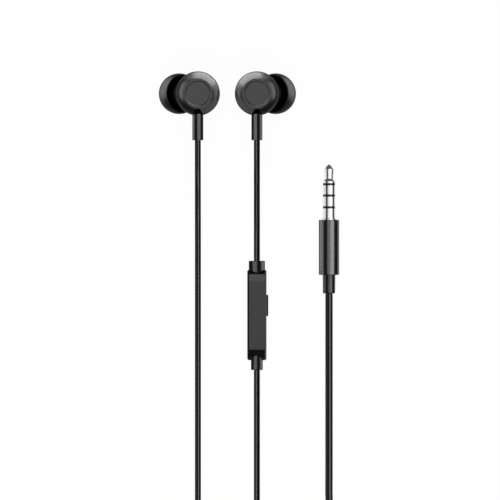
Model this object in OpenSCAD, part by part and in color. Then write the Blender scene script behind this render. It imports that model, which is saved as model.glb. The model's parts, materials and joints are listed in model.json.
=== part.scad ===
// Wired in-ear earphones: two earbuds, a remote on the right branch, a Y splitter,
// coiled leads and a four-pole 3.5 mm plug, laid out flat with the plug and remote beside
// each other. Millimetres, +Z up, origin on the floor midway between the two earbuds.

/* [Earbud housing] */
// Distance between the axes of the two housings as they lie
bud_spacing = 16.8; // [14:0.2:30]
// Distance of the housing axes behind the origin
bud_back = 3.4; // [0:0.1:8]
// Diameter of the flat outer face
face_d = 8.4; // [7.6:0.1:9.4]
// Radius of the shoulder between the face and the side
shoulder_r = 3.2; // [2.6:0.1:3.6]
// Height of the back shell, from its seam to the face
shell_h = 5.5; // [5.3:0.1:8]
// Wall thickness of both shells
shell_wall = 0.8; // [0.6:0.05:1]
// Wall thickness of the front shell's spigot
spigot_wall = 0.5; // [0.4:0.05:0.7]
// Clearance between the spigot and the back shell
spigot_gap = 0.04; // [0.02:0.01:0.1]
// Depth of the front shell's dome below the seam
front_depth = 3.2; // [2.6:0.1:3.6]
// Diameter of the trim cap set into the face
cap_d = 7.0; // [5:0.1:7.2]
// Thickness of the trim cap
cap_t = 0.3; // [0.2:0.05:0.4]
// Depth of the cap's top below the face
cap_recess = 0.22; // [0.1:0.02:0.4]

/* [Nozzle and ear tip] */
// Tilt of the nozzle from the housing axis
nozzle_tilt = 31.5; // [20:0.5:36]
// Height above the seam where the nozzle axis meets the housing axis
pivot_rise = 2.0; // [1.5:0.1:3]
// Outside diameter of the nozzle
nozzle_d = 5.1; // [4.6:0.1:5.4]
// Diameter of the sound bore
nozzle_bore_d = 3.6; // [2.8:0.1:3.8]
// Height of the lip that holds the ear tip
lip_h = 0.18; // [0.1:0.02:0.3]
// Length of the lip along the nozzle
lip_len = 1.2; // [0.6:0.1:2]
// Diameter of the ear tip's dome
tip_d = 11.6; // [10.8:0.1:13]
// Distance of the dome's centre along the nozzle axis
tip_reach = 10.2; // [9.8:0.1:11.5]
// Distance from the skirt's rim to the dome's centre
skirt_depth = 2.1; // [1:0.1:3]
// Distance from the dome's centre to the front of the ear tip
tip_nose = 5.0; // [4.6:0.1:5.2]
// Thickness of the skirt
skirt_t = 0.6; // [0.4:0.05:0.9]
// Wall thickness of the ear tip's core
core_wall = 0.6; // [0.4:0.05:0.8]
// Diameter of the opening at the front of the ear tip
tip_mouth_d = 4.2; // [3.6:0.1:4.6]
// Radial clearance between the core and the nozzle's lip
tip_clear = 0.05; // [0.02:0.01:0.1]
// Diameter of each hole in the nozzle mesh
mesh_hole_d = 0.45; // [0.3:0.05:0.5]
// Distance between the holes in the nozzle mesh
mesh_pitch = 0.72; // [0.7:0.01:0.8]

/* [Driver] */
// Outside diameter of the driver's frame; the housing is made round it
driver_d = 9.7; // [9:0.1:11]
// Room between the driver and the spigot round it
driver_room = 0.11; // [0.06:0.01:0.6]
// Thickness of the frame's flange
driver_flange_t = 0.8; // [0.6:0.05:1]
// Outside diameter of the steel yoke
yoke_d = 6.8; // [6:0.1:7]
// Height of the steel yoke
yoke_h = 1.8; // [1.6:0.05:2]
// Diameter of the magnet
magnet_d = 4.4; // [3.6:0.1:4.6]
// Thickness of the magnet
magnet_t = 0.8; // [0.6:0.05:0.9]
// Thickness of the pole plate
plate_t = 0.4; // [0.3:0.05:0.5]
// Thickness of the voice coil's winding
winding_t = 0.2; // [0.15:0.01:0.25]
// Thickness of the diaphragm
film_t = 0.1; // [0.06:0.01:0.15]

/* [Cords and sleeves] */
// Diameter of the branch cords
branch_d = 1.6; // [1.2:0.1:1.8]
// Diameter of the main cord
main_d = 2.0; // [1.6:0.1:2.2]
// Diameter of the stem sleeve under each housing
stem_d = 3.0; // [2.4:0.1:3.2]
// Height of the stem's axis above the seam
stem_rise = 2.7; // [2.4:0.1:2.8]
// Distance from the housing axis to the end of the stem sleeve
stem_reach = 13.1; // [9:0.1:20]
// Width of the stem sleeve's root where it ends in the shoulder
root_w = 1.3; // [0.8:0.1:2]
// Distance from the edge of the flat face to the stem sleeve's root
root_inset = 0.15; // [0.05:0.05:0.5]
// Gap between neighbouring turns of the coiled cords
turn_gap = 0.45; // [0.42:0.01:0.6]
// Thickness of the tie round each coil
tie_t = 0.5; // [0.3:0.05:0.8]
// Width of the tie round each coil
tie_w = 3.0; // [2:0.5:5]

/* [Remote] */
// Width of the remote
remote_w = 5.4; // [5.2:0.1:7]
// Length of the remote
remote_len = 25.6; // [24:0.1:32]
// Thickness of the remote
remote_t = 5.1; // [5:0.1:6.5]
// Height of the seam and of the cord's axis
remote_seam = 2.4; // [2.3:0.05:2.5]
// Distance of the remote's middle in front of the origin
remote_front = 59.7; // [56:0.1:62]
// Wall thickness of the remote
remote_wall = 0.7; // [0.5:0.05:0.9]
// Length of each solid end block
end_block = 3.4; // [3.2:0.1:5]
// Width of the bevel along the long edges
edge_bevel = 0.45; // [0.2:0.05:0.6]
// Diameter of the upper cord sleeve
upper_sleeve_d = 4.5; // [3.4:0.1:4.6]
// Diameter of the lower cord sleeve
lower_sleeve_d = 3.3; // [2.6:0.1:4.2]
// Length of the upper sleeve outside the remote
upper_sleeve_out = 2.6; // [1.5:0.1:6]
// Length of the lower sleeve outside the remote
lower_sleeve_out = 2.8; // [1.5:0.1:6]

/* [Button] */
// Length of the button
button_len = 5.9; // [4:0.1:7]
// Height of the button
button_h = 2.0; // [1.4:0.1:2]
// Distance that the button stands out of the side
button_proud = 0.55; // [0.4:0.05:1]
// Distance of the button's middle from the remote's middle
button_off = 2.7; // [1:0.1:4]
// Travel of the button
button_travel = 0.3; // [0.15:0.05:0.35]
// Clearance round the button in its slot
button_clear = 0.08; // [0.05:0.01:0.12]
// Thickness of the circuit board
board_t = 0.6; // [0.4:0.1:0.8]
// Width of the circuit board
board_w = 2.7; // [2.2:0.1:2.8]

/* [Plug] */
// Diameter of the plug pin
pin_d = 3.5; // [3.4:0.05:3.6]
// Length of the pin from the barrel to its point
pin_len = 15.7; // [15.2:0.1:17]
// Diameter of the barrel
barrel_d = 5.8; // [5.4:0.1:7]
// Length of the barrel
barrel_len = 15.7; // [12:0.1:20]
// Wall thickness of the barrel
barrel_wall = 0.5; // [0.4:0.05:0.6]
// Diameter of the strain relief
relief_d = 3.6; // [3:0.1:4]
// Length of the strain relief outside the barrel
relief_len = 5.3; // [3:0.1:9]
// Distance of the plug's axis to the right of the origin
plug_x = 28.95; // [26:0.05:40]
// Distance of the barrel's front face in front of the origin
plug_front = 32.5; // [30:0.1:36]

/* [Splitter] */
// Length of the splitter's body
splitter_len = 8.0; // [6:0.1:10]
// Width of the splitter's body
splitter_w = 6.0; // [5.4:0.1:8]
// Thickness of the splitter
splitter_t = 4.0; // [3.2:0.1:5]
// Distance between the two branch cords in the splitter
splitter_pitch = 2.8; // [2.4:0.1:3.2]
// Distance of the splitter's branch end in front of the origin
splitter_front = 145; // [144:0.5:150]

/* [Hidden] */
$fn = 96;
EPS = 0.01;
COIL_SIDES = 6;
COIL_RINGS = 24;
CORD_SIDES = 8;

BLACK = [0.07, 0.07, 0.075];
DARK = [0.11, 0.11, 0.115];
STEEL = [0.75, 0.75, 0.77];
COPPER = [0.72, 0.42, 0.24];
BOARD = [0.05, 0.28, 0.14];

// ---- Heights and radii of an earbud, standing on its ear tip ----
bud_x = bud_spacing / 2;
housing_r = driver_d / 2 + driver_room + spigot_wall + spigot_gap + shell_wall;
face_r = face_d / 2;
pivot_z = tip_reach * cos(nozzle_tilt) + tip_d / 2;
seam_z = pivot_z - pivot_rise;
face_z = seam_z + shell_h;
stem_z = seam_z + stem_rise;
shoulder_x = housing_r - shoulder_r;
shoulder_z = face_z - sqrt(shoulder_r * shoulder_r - pow(face_r - shoulder_x, 2));
cap_pocket = cap_recess + cap_t;
ceiling_z = face_z - cap_pocket - 0.6;
shell_inner_r = housing_r - shell_wall;

// Front shell: a spherical dome whose rim is a little inside the back shell's
dome_rim_r = housing_r - 0.15;
dome_r = (dome_rim_r * dome_rim_r + front_depth * front_depth) / (2 * front_depth);
dome_z = seam_z - front_depth + dome_r;
spigot_r = shell_inner_r - spigot_gap;
spigot_h = 1.0;
ledge_z = seam_z - 0.2;
ledge_t = 0.5;
ledge_r = driver_d / 2 - 0.55;

// Distances along the nozzle axis, from where it meets the housing axis
rim_t = tip_reach - skirt_depth;
core_start_t = rim_t + 0.25;
shoulder_t = core_start_t - 0.05;
nose_t = tip_reach + tip_nose;
nozzle_end_t = nose_t - 1.4;
core_bore_r = nozzle_d / 2 + lip_h + tip_clear;
core_r = core_bore_r + core_wall;
mesh_t = 0.25;
mesh_rim = 0.3;

// Driver, seated with its flange on the front shell's ledge
flange_top = ledge_z + driver_flange_t;
yoke_z = flange_top + 0.15;
yoke_wall = 0.45;
yoke_floor = yoke_h - plate_t - magnet_t - 0.05;
frame_cup_wall = 0.4;
coil_r = magnet_d / 2 + 0.15;
coil_h = 1.1;
film_z = ledge_z + 0.3;

// Remote, in its own frame: origin at its middle, Y along its length
remote_x = bud_x;
remote_y = -remote_front;
cavity_half_w = remote_w / 2 - remote_wall;
cavity_half_l = remote_len / 2 - end_block;
upper_facet = 3.05;
upper_facet_drop = 0.25;
lower_facet = 2.95;
end_round = 1.15;
board_z = remote_wall + 0.5;
board_top = board_z + board_t;
board_right = board_w - cavity_half_w + 0.08;
flange_face = cavity_half_w - 0.08;
flange_t = 0.4;
switch_face = flange_face - flange_t - button_travel - 0.05;
switch_len = 3.5;
switch_h = 1.3;
plunger_out = 0.25;
microphone_y = -6;
port_d = 0.8;

// Plug, in its own frame: origin at the barrel's front face, Z towards the point
pin_r = pin_d / 2;
barrel_r = barrel_d / 2;
plug_bore_r = barrel_r - barrel_wall;
point_len = 1.2;
point_r = 1.35;
neck_r = 1.2;
neck_at = pin_len - 4.0;
flare_at = pin_len - 4.7;
band_t = 0.5;
bands = [pin_len - 5.55, pin_len - 8.85, pin_len - 12.3];
rod_r = 0.45;
tube_r = 1.1;
collar_r = pin_r + 0.32;
collar_len = 0.4;
front_wall = 0.6;
ground_flange_t = 0.8;
rod_tail = 3.0;
core_len = 8.0;
relief_root = 2.0;

// Coils: turns per layer, layers, and the mean radius of the winding
branch_pitch = branch_d + turn_gap;
branch_turns = 2;
branch_layers = 2;
branch_mean_r = 8.0;
branch_outer_r = branch_mean_r + branch_pitch * branch_turns / 2;
branch_coil_y = -128;
branch_coil_z = tie_t + 0.05 + branch_d / 2;
main_pitch = main_d + turn_gap;
main_turns = 2.625;
main_layers = 4;
main_mean_r = 11.2;
main_outer_r = main_mean_r + main_pitch * main_turns / 2;
main_coil_y = -164.5;
main_coil_x = main_outer_r;
main_coil_z = tie_t + 0.05 + main_d / 2;

splitter_z = splitter_t / 2;
splitter_relief_d = 3.4;
splitter_relief_len = 2.0;

// ---- Routes of the cords: points chosen by hand where the cord isn't coiled ----
stem_end = [bud_x, bud_back - stem_reach, stem_z];

LEFT_ROUTE = [
    [-8.4, -13, 15.1], [-8.4, -17, 14.3], [-8.4, -21, 12.2], [-8.4, -25, 9.2], [-8.4, -29, 6.1],
    [-8.4, -33, 3.6], [-8.4, -37, 1.9], [-8.4, -41, 1.0], [-8.4, -46, 0.8], [-8.4, -51, 0.8],
    [-8.4, -56, 0.8], [-8.4, -61, 0.8], [-8.4, -66, 0.8], [-8.4, -71, 0.8], [-8.4, -76, 0.8],
    [-8.4, -81, 0.8], [-8.4, -86, 0.8], [-8.4, -91, 0.8], [-8.4, -96, 0.8], [-8.4, -101, 0.8],
    [-8.4, -106, 0.8], [-8.4, -111, 0.8], [-8.4, -116, 0.9], [-8.4, -121, 1.2]
];
RIGHT_UPPER_ROUTE = [
    [8.4, -13, 15.1], [8.4, -17, 14.3], [8.4, -21, 12.2], [8.4, -25, 9.2], [8.4, -29, 6.3],
    [8.4, -33, 4.2], [8.4, -37, 2.9], [8.4, -41, 2.4]
];
RIGHT_LOWER_ROUTE = [
    [8.4, -78, 2.35], [8.4, -82, 1.8], [8.4, -86, 1.1], [8.4, -90, 0.8], [8.4, -95, 0.8],
    [8.4, -100, 0.8], [8.4, -105, 0.8], [8.4, -110, 0.8], [8.4, -115, 0.9], [8.4, -121, 1.2]
];
TAIL_ROUTE = [
    [7.9, -134, 3.2], [6.6, -136, 2.9], [4.9, -137.3, 2.6], [3.2, -138.6, 2.3], [1.9, -140.6, 2.1]
];
MAIN_ROUTE = [
    [28.95, -57, 2.8], [28.95, -61, 2.1], [28.95, -65, 1.3], [28.95, -69, 1.0], [28.95, -75, 1.0],
    [28.95, -81, 1.0], [28.95, -87, 1.0], [28.95, -93, 1.0], [28.95, -99, 1.0], [28.95, -105, 1.0],
    [28.95, -111, 1.0], [29.3, -117, 1.0], [30.2, -123, 1.0], [30.8, -129, 1.0], [30.9, -135, 1.1],
    [30.5, -141, 2.1], [29.7, -147, 4.3], [29.0, -153, 6.9], [28.8, -157.5, 8.4]
];
MAIN_TAIL_ROUTE = [
    [0, -158.5, 1.8]
];

// ---- Helpers ----

// Puts a piece on the right earbud's axis, or mirrors it to the left earbud
module on_bud(side) {
    if (side < 0)
        mirror([1, 0, 0])
            translate([bud_x, bud_back, 0])
                children();
    else
        translate([bud_x, bud_back, 0])
            children();
}

// Turns a piece so that its Z runs along the stem, away from the housing
module along_stem() {
    translate([0, 0, stem_z])
        rotate([90, 0, 0])
            children();
}

// Turns a piece so that its Z runs along the nozzle, away from the housing
module along_nozzle() {
    translate([0, 0, pivot_z])
        rotate([0, 180 - nozzle_tilt, 0])
            children();
}

module on_remote() {
    translate([remote_x, remote_y, 0])
        children();
}

// Turns a piece so that its Z runs towards the plug's point
module on_plug() {
    translate([plug_x, -plug_front, barrel_r])
        rotate([-90, 0, 0])
            children();
}

module tube(r, bore_r, from, to) {
    translate([0, 0, from])
        difference() {
            cylinder(r = r, h = to - from);
            translate([0, 0, -EPS])
                cylinder(r = bore_r, h = to - from + 2 * EPS);
        }
}

module block(low, high) {
    translate(low)
        cube(high - low);
}

function unit(v) = v / norm(v);

// Direction of a route at each of its points
function heading(route, i) =
    let (last = len(route) - 1)
    i == 0 ? unit(route[1] - route[0]) :
    i == last ? unit(route[last] - route[last - 1]) :
    unit(unit(route[i + 1] - route[i]) + unit(route[i] - route[i - 1]));

function ring(centre, along, r, sides) =
    let (side = unit(cross(along, [0, 0, 1])))
    let (top = cross(side, along))
    [for (k = [0 : sides - 1])
        let (a = 360 * (k + 0.5) / sides)
        centre + r * (cos(a) * side + sin(a) * top)];

// A closed round tube swept along a route
module cord(route, d, sides) {
    last = len(route) - 1;
    points = [for (i = [0 : last]) each ring(route[i], heading(route, i), d / 2, sides)];
    skin = [for (i = [0 : last - 1]) for (k = [0 : sides - 1])
        let (a = i * sides + k)
        let (b = i * sides + (k + 1) % sides)
        each [[a, b, b + sides], [a, b + sides, a + sides]]];
    first_cap = [for (k = [1 : sides - 2]) [0, k + 1, k]];
    last_cap = [for (k = [1 : sides - 2])
        [last * sides, last * sides + k, last * sides + k + 1]];
    polyhedron(points = points, faces = concat(skin, first_cap, last_cap), convexity = 10);
}

// How far a coil has climbed, in layers: half a turn about each reversal of the spiral
function climb(turn, turns, layers) =
    len([for (k = [1 : 1 : layers - 1]) if (turn >= k * turns + 0.25) 1]) +
    (let (part = [for (k = [1 : 1 : layers - 1])
        if (abs(turn - k * turns) < 0.25) 2 * (turn - k * turns) + 0.5])
    len(part) > 0 ? part[0] : 0);

// Radius of a coil that spirals in and out by one pitch a turn
function coil_r_at(turn, turns, outer_r, pitch) =
    let (layer = floor(turn / turns + EPS / 100))
    let (into = turn - layer * turns)
    layer % 2 == 0 ? outer_r - pitch * into : outer_r - pitch * (turns - into);

// Centreline of a coil entered at its left side on the way to -Y
function coil_route(centre, outer_r, pitch, turns, layers) =
    let (steps = round(turns * layers * COIL_RINGS))
    [for (i = [0 : steps])
        let (turn = i / COIL_RINGS)
        let (r = coil_r_at(min(turn, turns * layers - EPS / 10), turns, outer_r, pitch))
        let (a = 180 + 360 * turn)
        centre + [r * cos(a), r * sin(a), pitch * climb(turn, turns, layers)]];

// The coil's ends run straight for one cord diameter along Y
function with_ends(route, d, first_dir, last_dir) =
    let (last = len(route) - 1)
    concat([route[0] - [0, d * first_dir, 0]], route, [route[last] + [0, d * last_dir, 0]]);

// A route that leaves its start and meets its finish along Y, each for one cord diameter
function led(start, route, finish, d) =
    concat([start, start - [0, d, 0]], route, [finish + [0, d, 0], finish]);

// Least gap between turns that aren't neighbours along the cord
function least_gap(route, d) =
    min([for (i = [0 : len(route) - 1]) for (j = [i + COIL_RINGS / 2 : 1 : len(route) - 1])
        norm(route[i] - route[j])]) - d;

BRANCH_COIL = with_ends(
    coil_route([bud_x + branch_outer_r, branch_coil_y, branch_coil_z],
        branch_outer_r, branch_pitch, branch_turns, branch_layers),
    branch_d, -1, -1);
MAIN_COIL = with_ends(
    coil_route([main_coil_x, main_coil_y, main_coil_z],
        main_outer_r, main_pitch, main_turns, main_layers),
    main_d, -1, 1);

echo(branch_coil_gap = least_gap(BRANCH_COIL, branch_d));
echo(main_coil_gap = least_gap(MAIN_COIL, main_d));

// ---- Earbud ----

// Outline of the back shell between two heights, drawn in by a wall
module shell_outline(wall, low, top) {
    intersection() {
        union() {
            translate([shoulder_x, shoulder_z])
                circle(r = shoulder_r - wall);
            translate([0, low])
                square([housing_r - wall, shoulder_z - low]);
            translate([0, low])
                square([shoulder_x, face_z - low]);
        }
        translate([0, low])
            square([housing_r, top - low]);
    }
}

// Room above the stem that widens from the face to the side of the housing
module root_notch() {
    flare = stem_d * 0.48;
    translate([0, 0, stem_z])
        linear_extrude(height = face_z - stem_z + 1)
            polygon([
                [-root_w / 2, -face_r - root_inset], [-flare, -housing_r + 0.6],
                [-flare, -housing_r - 1], [flare, -housing_r - 1],
                [flare, -housing_r + 0.6], [root_w / 2, -face_r - root_inset]
            ]);
}

// Bell-shaped back shell with a pocket for the cap, a hole for the stem and a notch above it
module back_shell() {
    color(BLACK)
        difference() {
            rotate_extrude()
                shell_outline(0, seam_z, face_z);
            rotate_extrude()
                shell_outline(shell_wall, seam_z - EPS, ceiling_z);
            translate([0, 0, face_z - cap_pocket])
                cylinder(r = cap_d / 2, h = cap_pocket + 1);
            along_stem()
                cylinder(d = stem_d, h = housing_r + 1);
            root_notch();
        }
}

module face_cap() {
    color(DARK)
        translate([0, 0, face_z - cap_pocket])
            cylinder(r = cap_d / 2 - 0.04, h = cap_t);
}

module dome(r) {
    intersection() {
        translate([0, 0, dome_z])
            sphere(r = r);
        translate([0, 0, seam_z - front_depth - 1])
            cylinder(r = housing_r, h = front_depth + 1);
    }
}

// Domed front shell with its tilted nozzle, the tip's lip and the driver's ledge
module front_shell() {
    color(BLACK)
        union() {
            difference() {
                union() {
                    dome(dome_r);
                    along_nozzle() {
                        cylinder(r = nozzle_d / 2, h = nozzle_end_t);
                        cylinder(r = core_r, h = shoulder_t);
                        translate([0, 0, nozzle_end_t - lip_len])
                            cylinder(r = nozzle_d / 2 + lip_h, h = lip_len);
                    }
                }
                translate([0, 0, dome_z])
                    sphere(r = dome_r - shell_wall);
                along_nozzle() {
                    cylinder(d = nozzle_bore_d, h = nozzle_end_t + 1);
                    translate([0, 0, nozzle_end_t - mesh_t])
                        cylinder(r = nozzle_bore_d / 2 + mesh_rim, h = mesh_t + 1);
                }
            }
            intersection() {
                tube(housing_r, ledge_r, ledge_z - ledge_t, ledge_z);
                dome(dome_r - shell_wall / 2);
            }
            tube(spigot_r, spigot_r - spigot_wall, seam_z - 0.3, seam_z + spigot_h);
        }
}

// Perforated disc in the end of the nozzle
module nozzle_mesh() {
    rows = 2;
    color(STEEL)
        along_nozzle()
            translate([0, 0, nozzle_end_t - mesh_t])
                difference() {
                    cylinder(r = nozzle_bore_d / 2 + mesh_rim - 0.03, h = mesh_t);
                    for (i = [-rows : rows], j = [-rows : rows])
                        if (abs(i + j) <= rows)
                            translate([mesh_pitch * (i + j / 2), mesh_pitch * j * sqrt(3) / 2, -1])
                                cylinder(d = mesh_hole_d, h = mesh_t + 2);
                }
}

// Silicone ear tip: a hollow dome whose core slides over the nozzle's lip
module ear_tip() {
    web_t = nose_t - 1.2;
    color(BLACK)
        along_nozzle()
            rotate_extrude()
                difference() {
                    intersection() {
                        union() {
                            difference() {
                                translate([0, tip_reach])
                                    circle(d = tip_d);
                                translate([0, tip_reach])
                                    circle(d = tip_d - 2 * skirt_t);
                            }
                            translate([0, web_t])
                                square([tip_d / 2, nose_t - web_t]);
                            translate([0, core_start_t])
                                square([core_r, nose_t - core_start_t]);
                        }
                        translate([0, tip_reach])
                            circle(d = tip_d);
                        translate([0, rim_t])
                            square([tip_d, nose_t - rim_t]);
                    }
                    translate([-1, rim_t - 1])
                        square([core_bore_r + 1, nozzle_end_t + 0.1 - rim_t + 1]);
                    translate([-1, rim_t])
                        square([tip_mouth_d / 2 + 1, nose_t]);
                }
}

// Sleeve round the cord, with a wedge-shaped root that fills the back shell's notch
module stem_sleeve() {
    start = yoke_d / 2 + frame_cup_wall + 0.6;
    color(BLACK)
        difference() {
            union() {
                along_stem()
                    translate([0, 0, start])
                        cylinder(d = stem_d, h = stem_reach - start);
                intersection() {
                    rotate_extrude()
                        shell_outline(0, seam_z, face_z);
                    root_notch();
                }
            }
            along_stem()
                translate([0, 0, 1])
                    cylinder(d = branch_d, h = stem_reach - 1.5);
        }
}

// Plastic frame: a flange on the ledge and a cup round the yoke
module driver_frame() {
    cup_r = yoke_d / 2 + frame_cup_wall;
    color(DARK) {
        tube(driver_d / 2, yoke_d / 2 - yoke_wall, flange_top - 0.35, flange_top + 0.15);
        tube(driver_d / 2, ledge_r, ledge_z, flange_top);
        tube(cup_r, yoke_d / 2 + 0.02, flange_top, yoke_z + yoke_h);
    }
}

// Steel cup that carries the magnet and closes the magnetic circuit
module driver_yoke() {
    color(STEEL)
        difference() {
            translate([0, 0, yoke_z])
                cylinder(d = yoke_d, h = yoke_h);
            translate([0, 0, yoke_z - 1])
                cylinder(r = yoke_d / 2 - yoke_wall, h = yoke_h - yoke_floor + 1);
        }
}

module driver_magnet() {
    color(STEEL)
        translate([0, 0, yoke_z + yoke_h - yoke_floor - magnet_t])
            cylinder(d = magnet_d, h = magnet_t);
}

module pole_plate() {
    color(STEEL)
        translate([0, 0, yoke_z + yoke_h - yoke_floor - magnet_t - plate_t])
            cylinder(d = magnet_d, h = plate_t);
}

module voice_coil() {
    color(COPPER)
        tube(coil_r + winding_t, coil_r, film_z + film_t, film_z + film_t + coil_h);
}

// Thin film with a domed middle and a rolled surround
module diaphragm() {
    rim_r = ledge_r - 0.05;
    roll_r = (rim_r - 0.3 - coil_r - winding_t) / 2;
    roll_x = coil_r + winding_t + roll_r;
    color(DARK)
        rotate_extrude()
            difference() {
                union() {
                    translate([0, film_z])
                        square([rim_r, film_t]);
                    intersection() {
                        translate([roll_x, film_z])
                            circle(r = roll_r);
                        translate([0, film_z - 0.4])
                            square([rim_r, 0.4 + film_t]);
                    }
                }
                intersection() {
                    translate([roll_x, film_z + film_t])
                        circle(r = roll_r - film_t / 2);
                    translate([0, film_z - 0.3])
                        square([rim_r, 0.4 + film_t]);
                }
            }
}

// ---- Remote ----

// Plan of the remote: rounded more at the upper end than at the lower
module remote_plan() {
    half_w = remote_w / 2;
    half_l = remote_len / 2;
    upper_r = 1.1;
    lower_r = 0.85;
    translate([-half_w, -half_l + lower_r])
        square([2 * half_w, 2 * half_l - lower_r - upper_r]);
    translate([-half_w + upper_r, half_l - upper_r - EPS])
        square([2 * (half_w - upper_r), upper_r + EPS]);
    translate([-half_w + lower_r, -half_l])
        square([2 * (half_w - lower_r), lower_r + EPS]);
    for (side = [-1, 1]) {
        translate([side * (half_w - upper_r), half_l - upper_r])
            circle(r = upper_r);
        translate([side * (half_w - lower_r), -half_l + lower_r])
            circle(r = lower_r);
    }
}

// Side outline of the front shell: a slight upper facet, a steep lower one, rounded ends
module remote_side() {
    half = remote_len / 2;
    upper_top = remote_t - upper_facet_drop;
    polygon([
        [-half, remote_seam], [half, remote_seam], [half, upper_top - end_round],
        [half - end_round, upper_top - end_round], [half - end_round, upper_top],
        [half - upper_facet, remote_t], [-half + lower_facet, remote_t],
        [-half + 0.85, remote_t - 1.28], [-half + 0.3, remote_t - 1.5], [-half, remote_t - 1.8]
    ]);
    translate([half - end_round, upper_top - end_round])
        circle(r = end_round);
}

// Outer form of the whole remote, above or below the seam
module remote_form(front) {
    half_w = remote_w / 2;
    low = front ? remote_seam : 0;
    high = front ? remote_t : remote_seam;
    bevel_z = front ? remote_t : 0;
    bevel_end = front ? remote_t - edge_bevel * 1.3 : edge_bevel * 1.3;
    intersection() {
        translate([0, 0, low])
            linear_extrude(height = high - low)
                remote_plan();
        rotate([90, 0, 0])
            linear_extrude(height = 2 * remote_len, center = true)
                polygon([
                    [-half_w, remote_seam], [half_w, remote_seam], [half_w, bevel_end],
                    [half_w - edge_bevel, bevel_z], [-half_w + edge_bevel, bevel_z],
                    [-half_w, bevel_end]
                ]);
        if (front)
            rotate([90, 0, 90])
                linear_extrude(height = 2 * remote_w, center = true)
                    remote_side();
        else
            rotate([90, 0, 90])
                linear_extrude(height = 2 * remote_w, center = true)
                    polygon([
                        [-remote_len / 2, remote_seam], [remote_len / 2, remote_seam],
                        [remote_len / 2, 0.9], [remote_len / 2 - 0.9, 0],
                        [-remote_len / 2 + 0.9, 0], [-remote_len / 2, 0.9]
                    ]);
    }
}

// Room inside for the board, the button's slot and the seats of both sleeves
module remote_room(low, high) {
    block([-cavity_half_w, -cavity_half_l, low], [cavity_half_w, cavity_half_l, high]);
    block([cavity_half_w - 1, button_off - button_len / 2 - button_clear,
            remote_seam - button_h / 2 - button_clear],
        [remote_w, button_off + button_len / 2 + button_clear,
            remote_seam + button_h / 2 + button_clear]);
    translate([0, 0, remote_seam])
        rotate([-90, 0, 0])
            cylinder(d = upper_sleeve_d, h = remote_len);
    translate([0, 0, remote_seam])
        rotate([90, 0, 0])
            cylinder(d = lower_sleeve_d, h = remote_len);
}

module remote_front_shell() {
    color(BLACK)
        on_remote()
            difference() {
                remote_form(true);
                remote_room(remote_seam - 1, remote_t - remote_wall);
            }
}

// Back shell with ribs under the board and the microphone's port
module remote_back_shell() {
    rib = 0.8;
    color(BLACK)
        on_remote()
            difference() {
                union() {
                    difference() {
                        remote_form(false);
                        remote_room(remote_wall, remote_seam + 1);
                    }
                    for (y = [-cavity_half_l + 1.5, -2, cavity_half_l - 2.5])
                        block([-cavity_half_w - EPS, y, remote_wall - EPS],
                            [board_right, y + rib, board_z]);
                }
                translate([-0.4, microphone_y, -1])
                    cylinder(d = port_d, h = remote_wall + 2);
            }
}

// Button with a flange that keeps it in its slot
module remote_button() {
    outer = remote_w / 2 + button_proud;
    flange_over = 0.35;
    low_y = button_off - button_len / 2;
    low_z = remote_seam - button_h / 2;
    color(DARK)
        on_remote() {
            block([flange_face - EPS, low_y, low_z], [outer, low_y + button_len, low_z + button_h]);
            block([flange_face - flange_t, low_y - flange_over, low_z - flange_over + 0.1],
                [flange_face, low_y + button_len + flange_over, low_z + button_h + flange_over]);
        }
}

module remote_board() {
    color(BOARD)
        on_remote()
            difference() {
                block([-cavity_half_w + 0.08, -cavity_half_l + 1, board_z],
                    [board_right, cavity_half_l - 1, board_top]);
                translate([-0.4, microphone_y, 0])
                    cylinder(d = 0.5, h = remote_t);
            }
}

// Side-acting switch: its plunger waits behind the button's flange
module remote_switch() {
    half = switch_len / 2;
    color(STEEL)
        on_remote() {
            block([switch_face - plunger_out - 1.8, button_off - half, board_top],
                [switch_face - plunger_out, button_off + half, board_top + switch_h]);
            block([switch_face - plunger_out - EPS, button_off - half / 2, board_top + 0.3],
                [switch_face, button_off + half / 2, board_top + 1]);
        }
}

module remote_microphone() {
    color(STEEL)
        on_remote()
            difference() {
                block([-1.3, microphone_y - 1.4, board_top], [0.5, microphone_y + 1.4, board_top + 0.9]);
                translate([-0.4, microphone_y, board_top - 1])
                    cylinder(d = 0.5, h = 1.3);
            }
}

// Rubber sleeve on the cord where it enters the remote
module remote_sleeve(d, out) {
    color(BLACK)
        difference() {
            translate([0, 0, remote_len / 2 - end_block])
                cylinder(d = d, h = end_block + out);
            translate([0, 0, remote_len / 2 - end_block - 1])
                cylinder(d = branch_d, h = end_block + out + 0.5);
        }
}

module remote_upper_sleeve() {
    on_remote()
        translate([0, 0, remote_seam])
            rotate([-90, 0, 0])
                remote_sleeve(upper_sleeve_d, upper_sleeve_out);
}

module remote_lower_sleeve() {
    on_remote()
        translate([0, 0, remote_seam])
            rotate([90, 0, 0])
                remote_sleeve(lower_sleeve_d, lower_sleeve_out);
}

// ---- Plug ----

module plug_barrel() {
    bevel = 0.25;
    color(BLACK)
        on_plug()
            rotate_extrude()
                difference() {
                    polygon([
                        [0, -barrel_len], [barrel_r - bevel, -barrel_len], [barrel_r, -barrel_len + bevel],
                        [barrel_r, -bevel], [barrel_r - bevel, 0], [0, 0]
                    ]);
                    translate([-1, -barrel_len - 1])
                        square([plug_bore_r + 1, barrel_len - front_wall + 1]);
                    translate([-1, -barrel_len])
                        square([collar_r + 0.02 + 1, barrel_len + 1]);
                }
}

// Moulding behind the pin that holds the soldered wires
module plug_core() {
    front = -front_wall - ground_flange_t;
    color(DARK)
        on_plug()
            difference() {
                translate([0, 0, front - core_len])
                    cylinder(r = plug_bore_r - 0.02, h = core_len);
                translate([0, 0, -front_wall - rod_tail])
                    cylinder(r = tube_r, h = rod_tail);
            }
}

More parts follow.
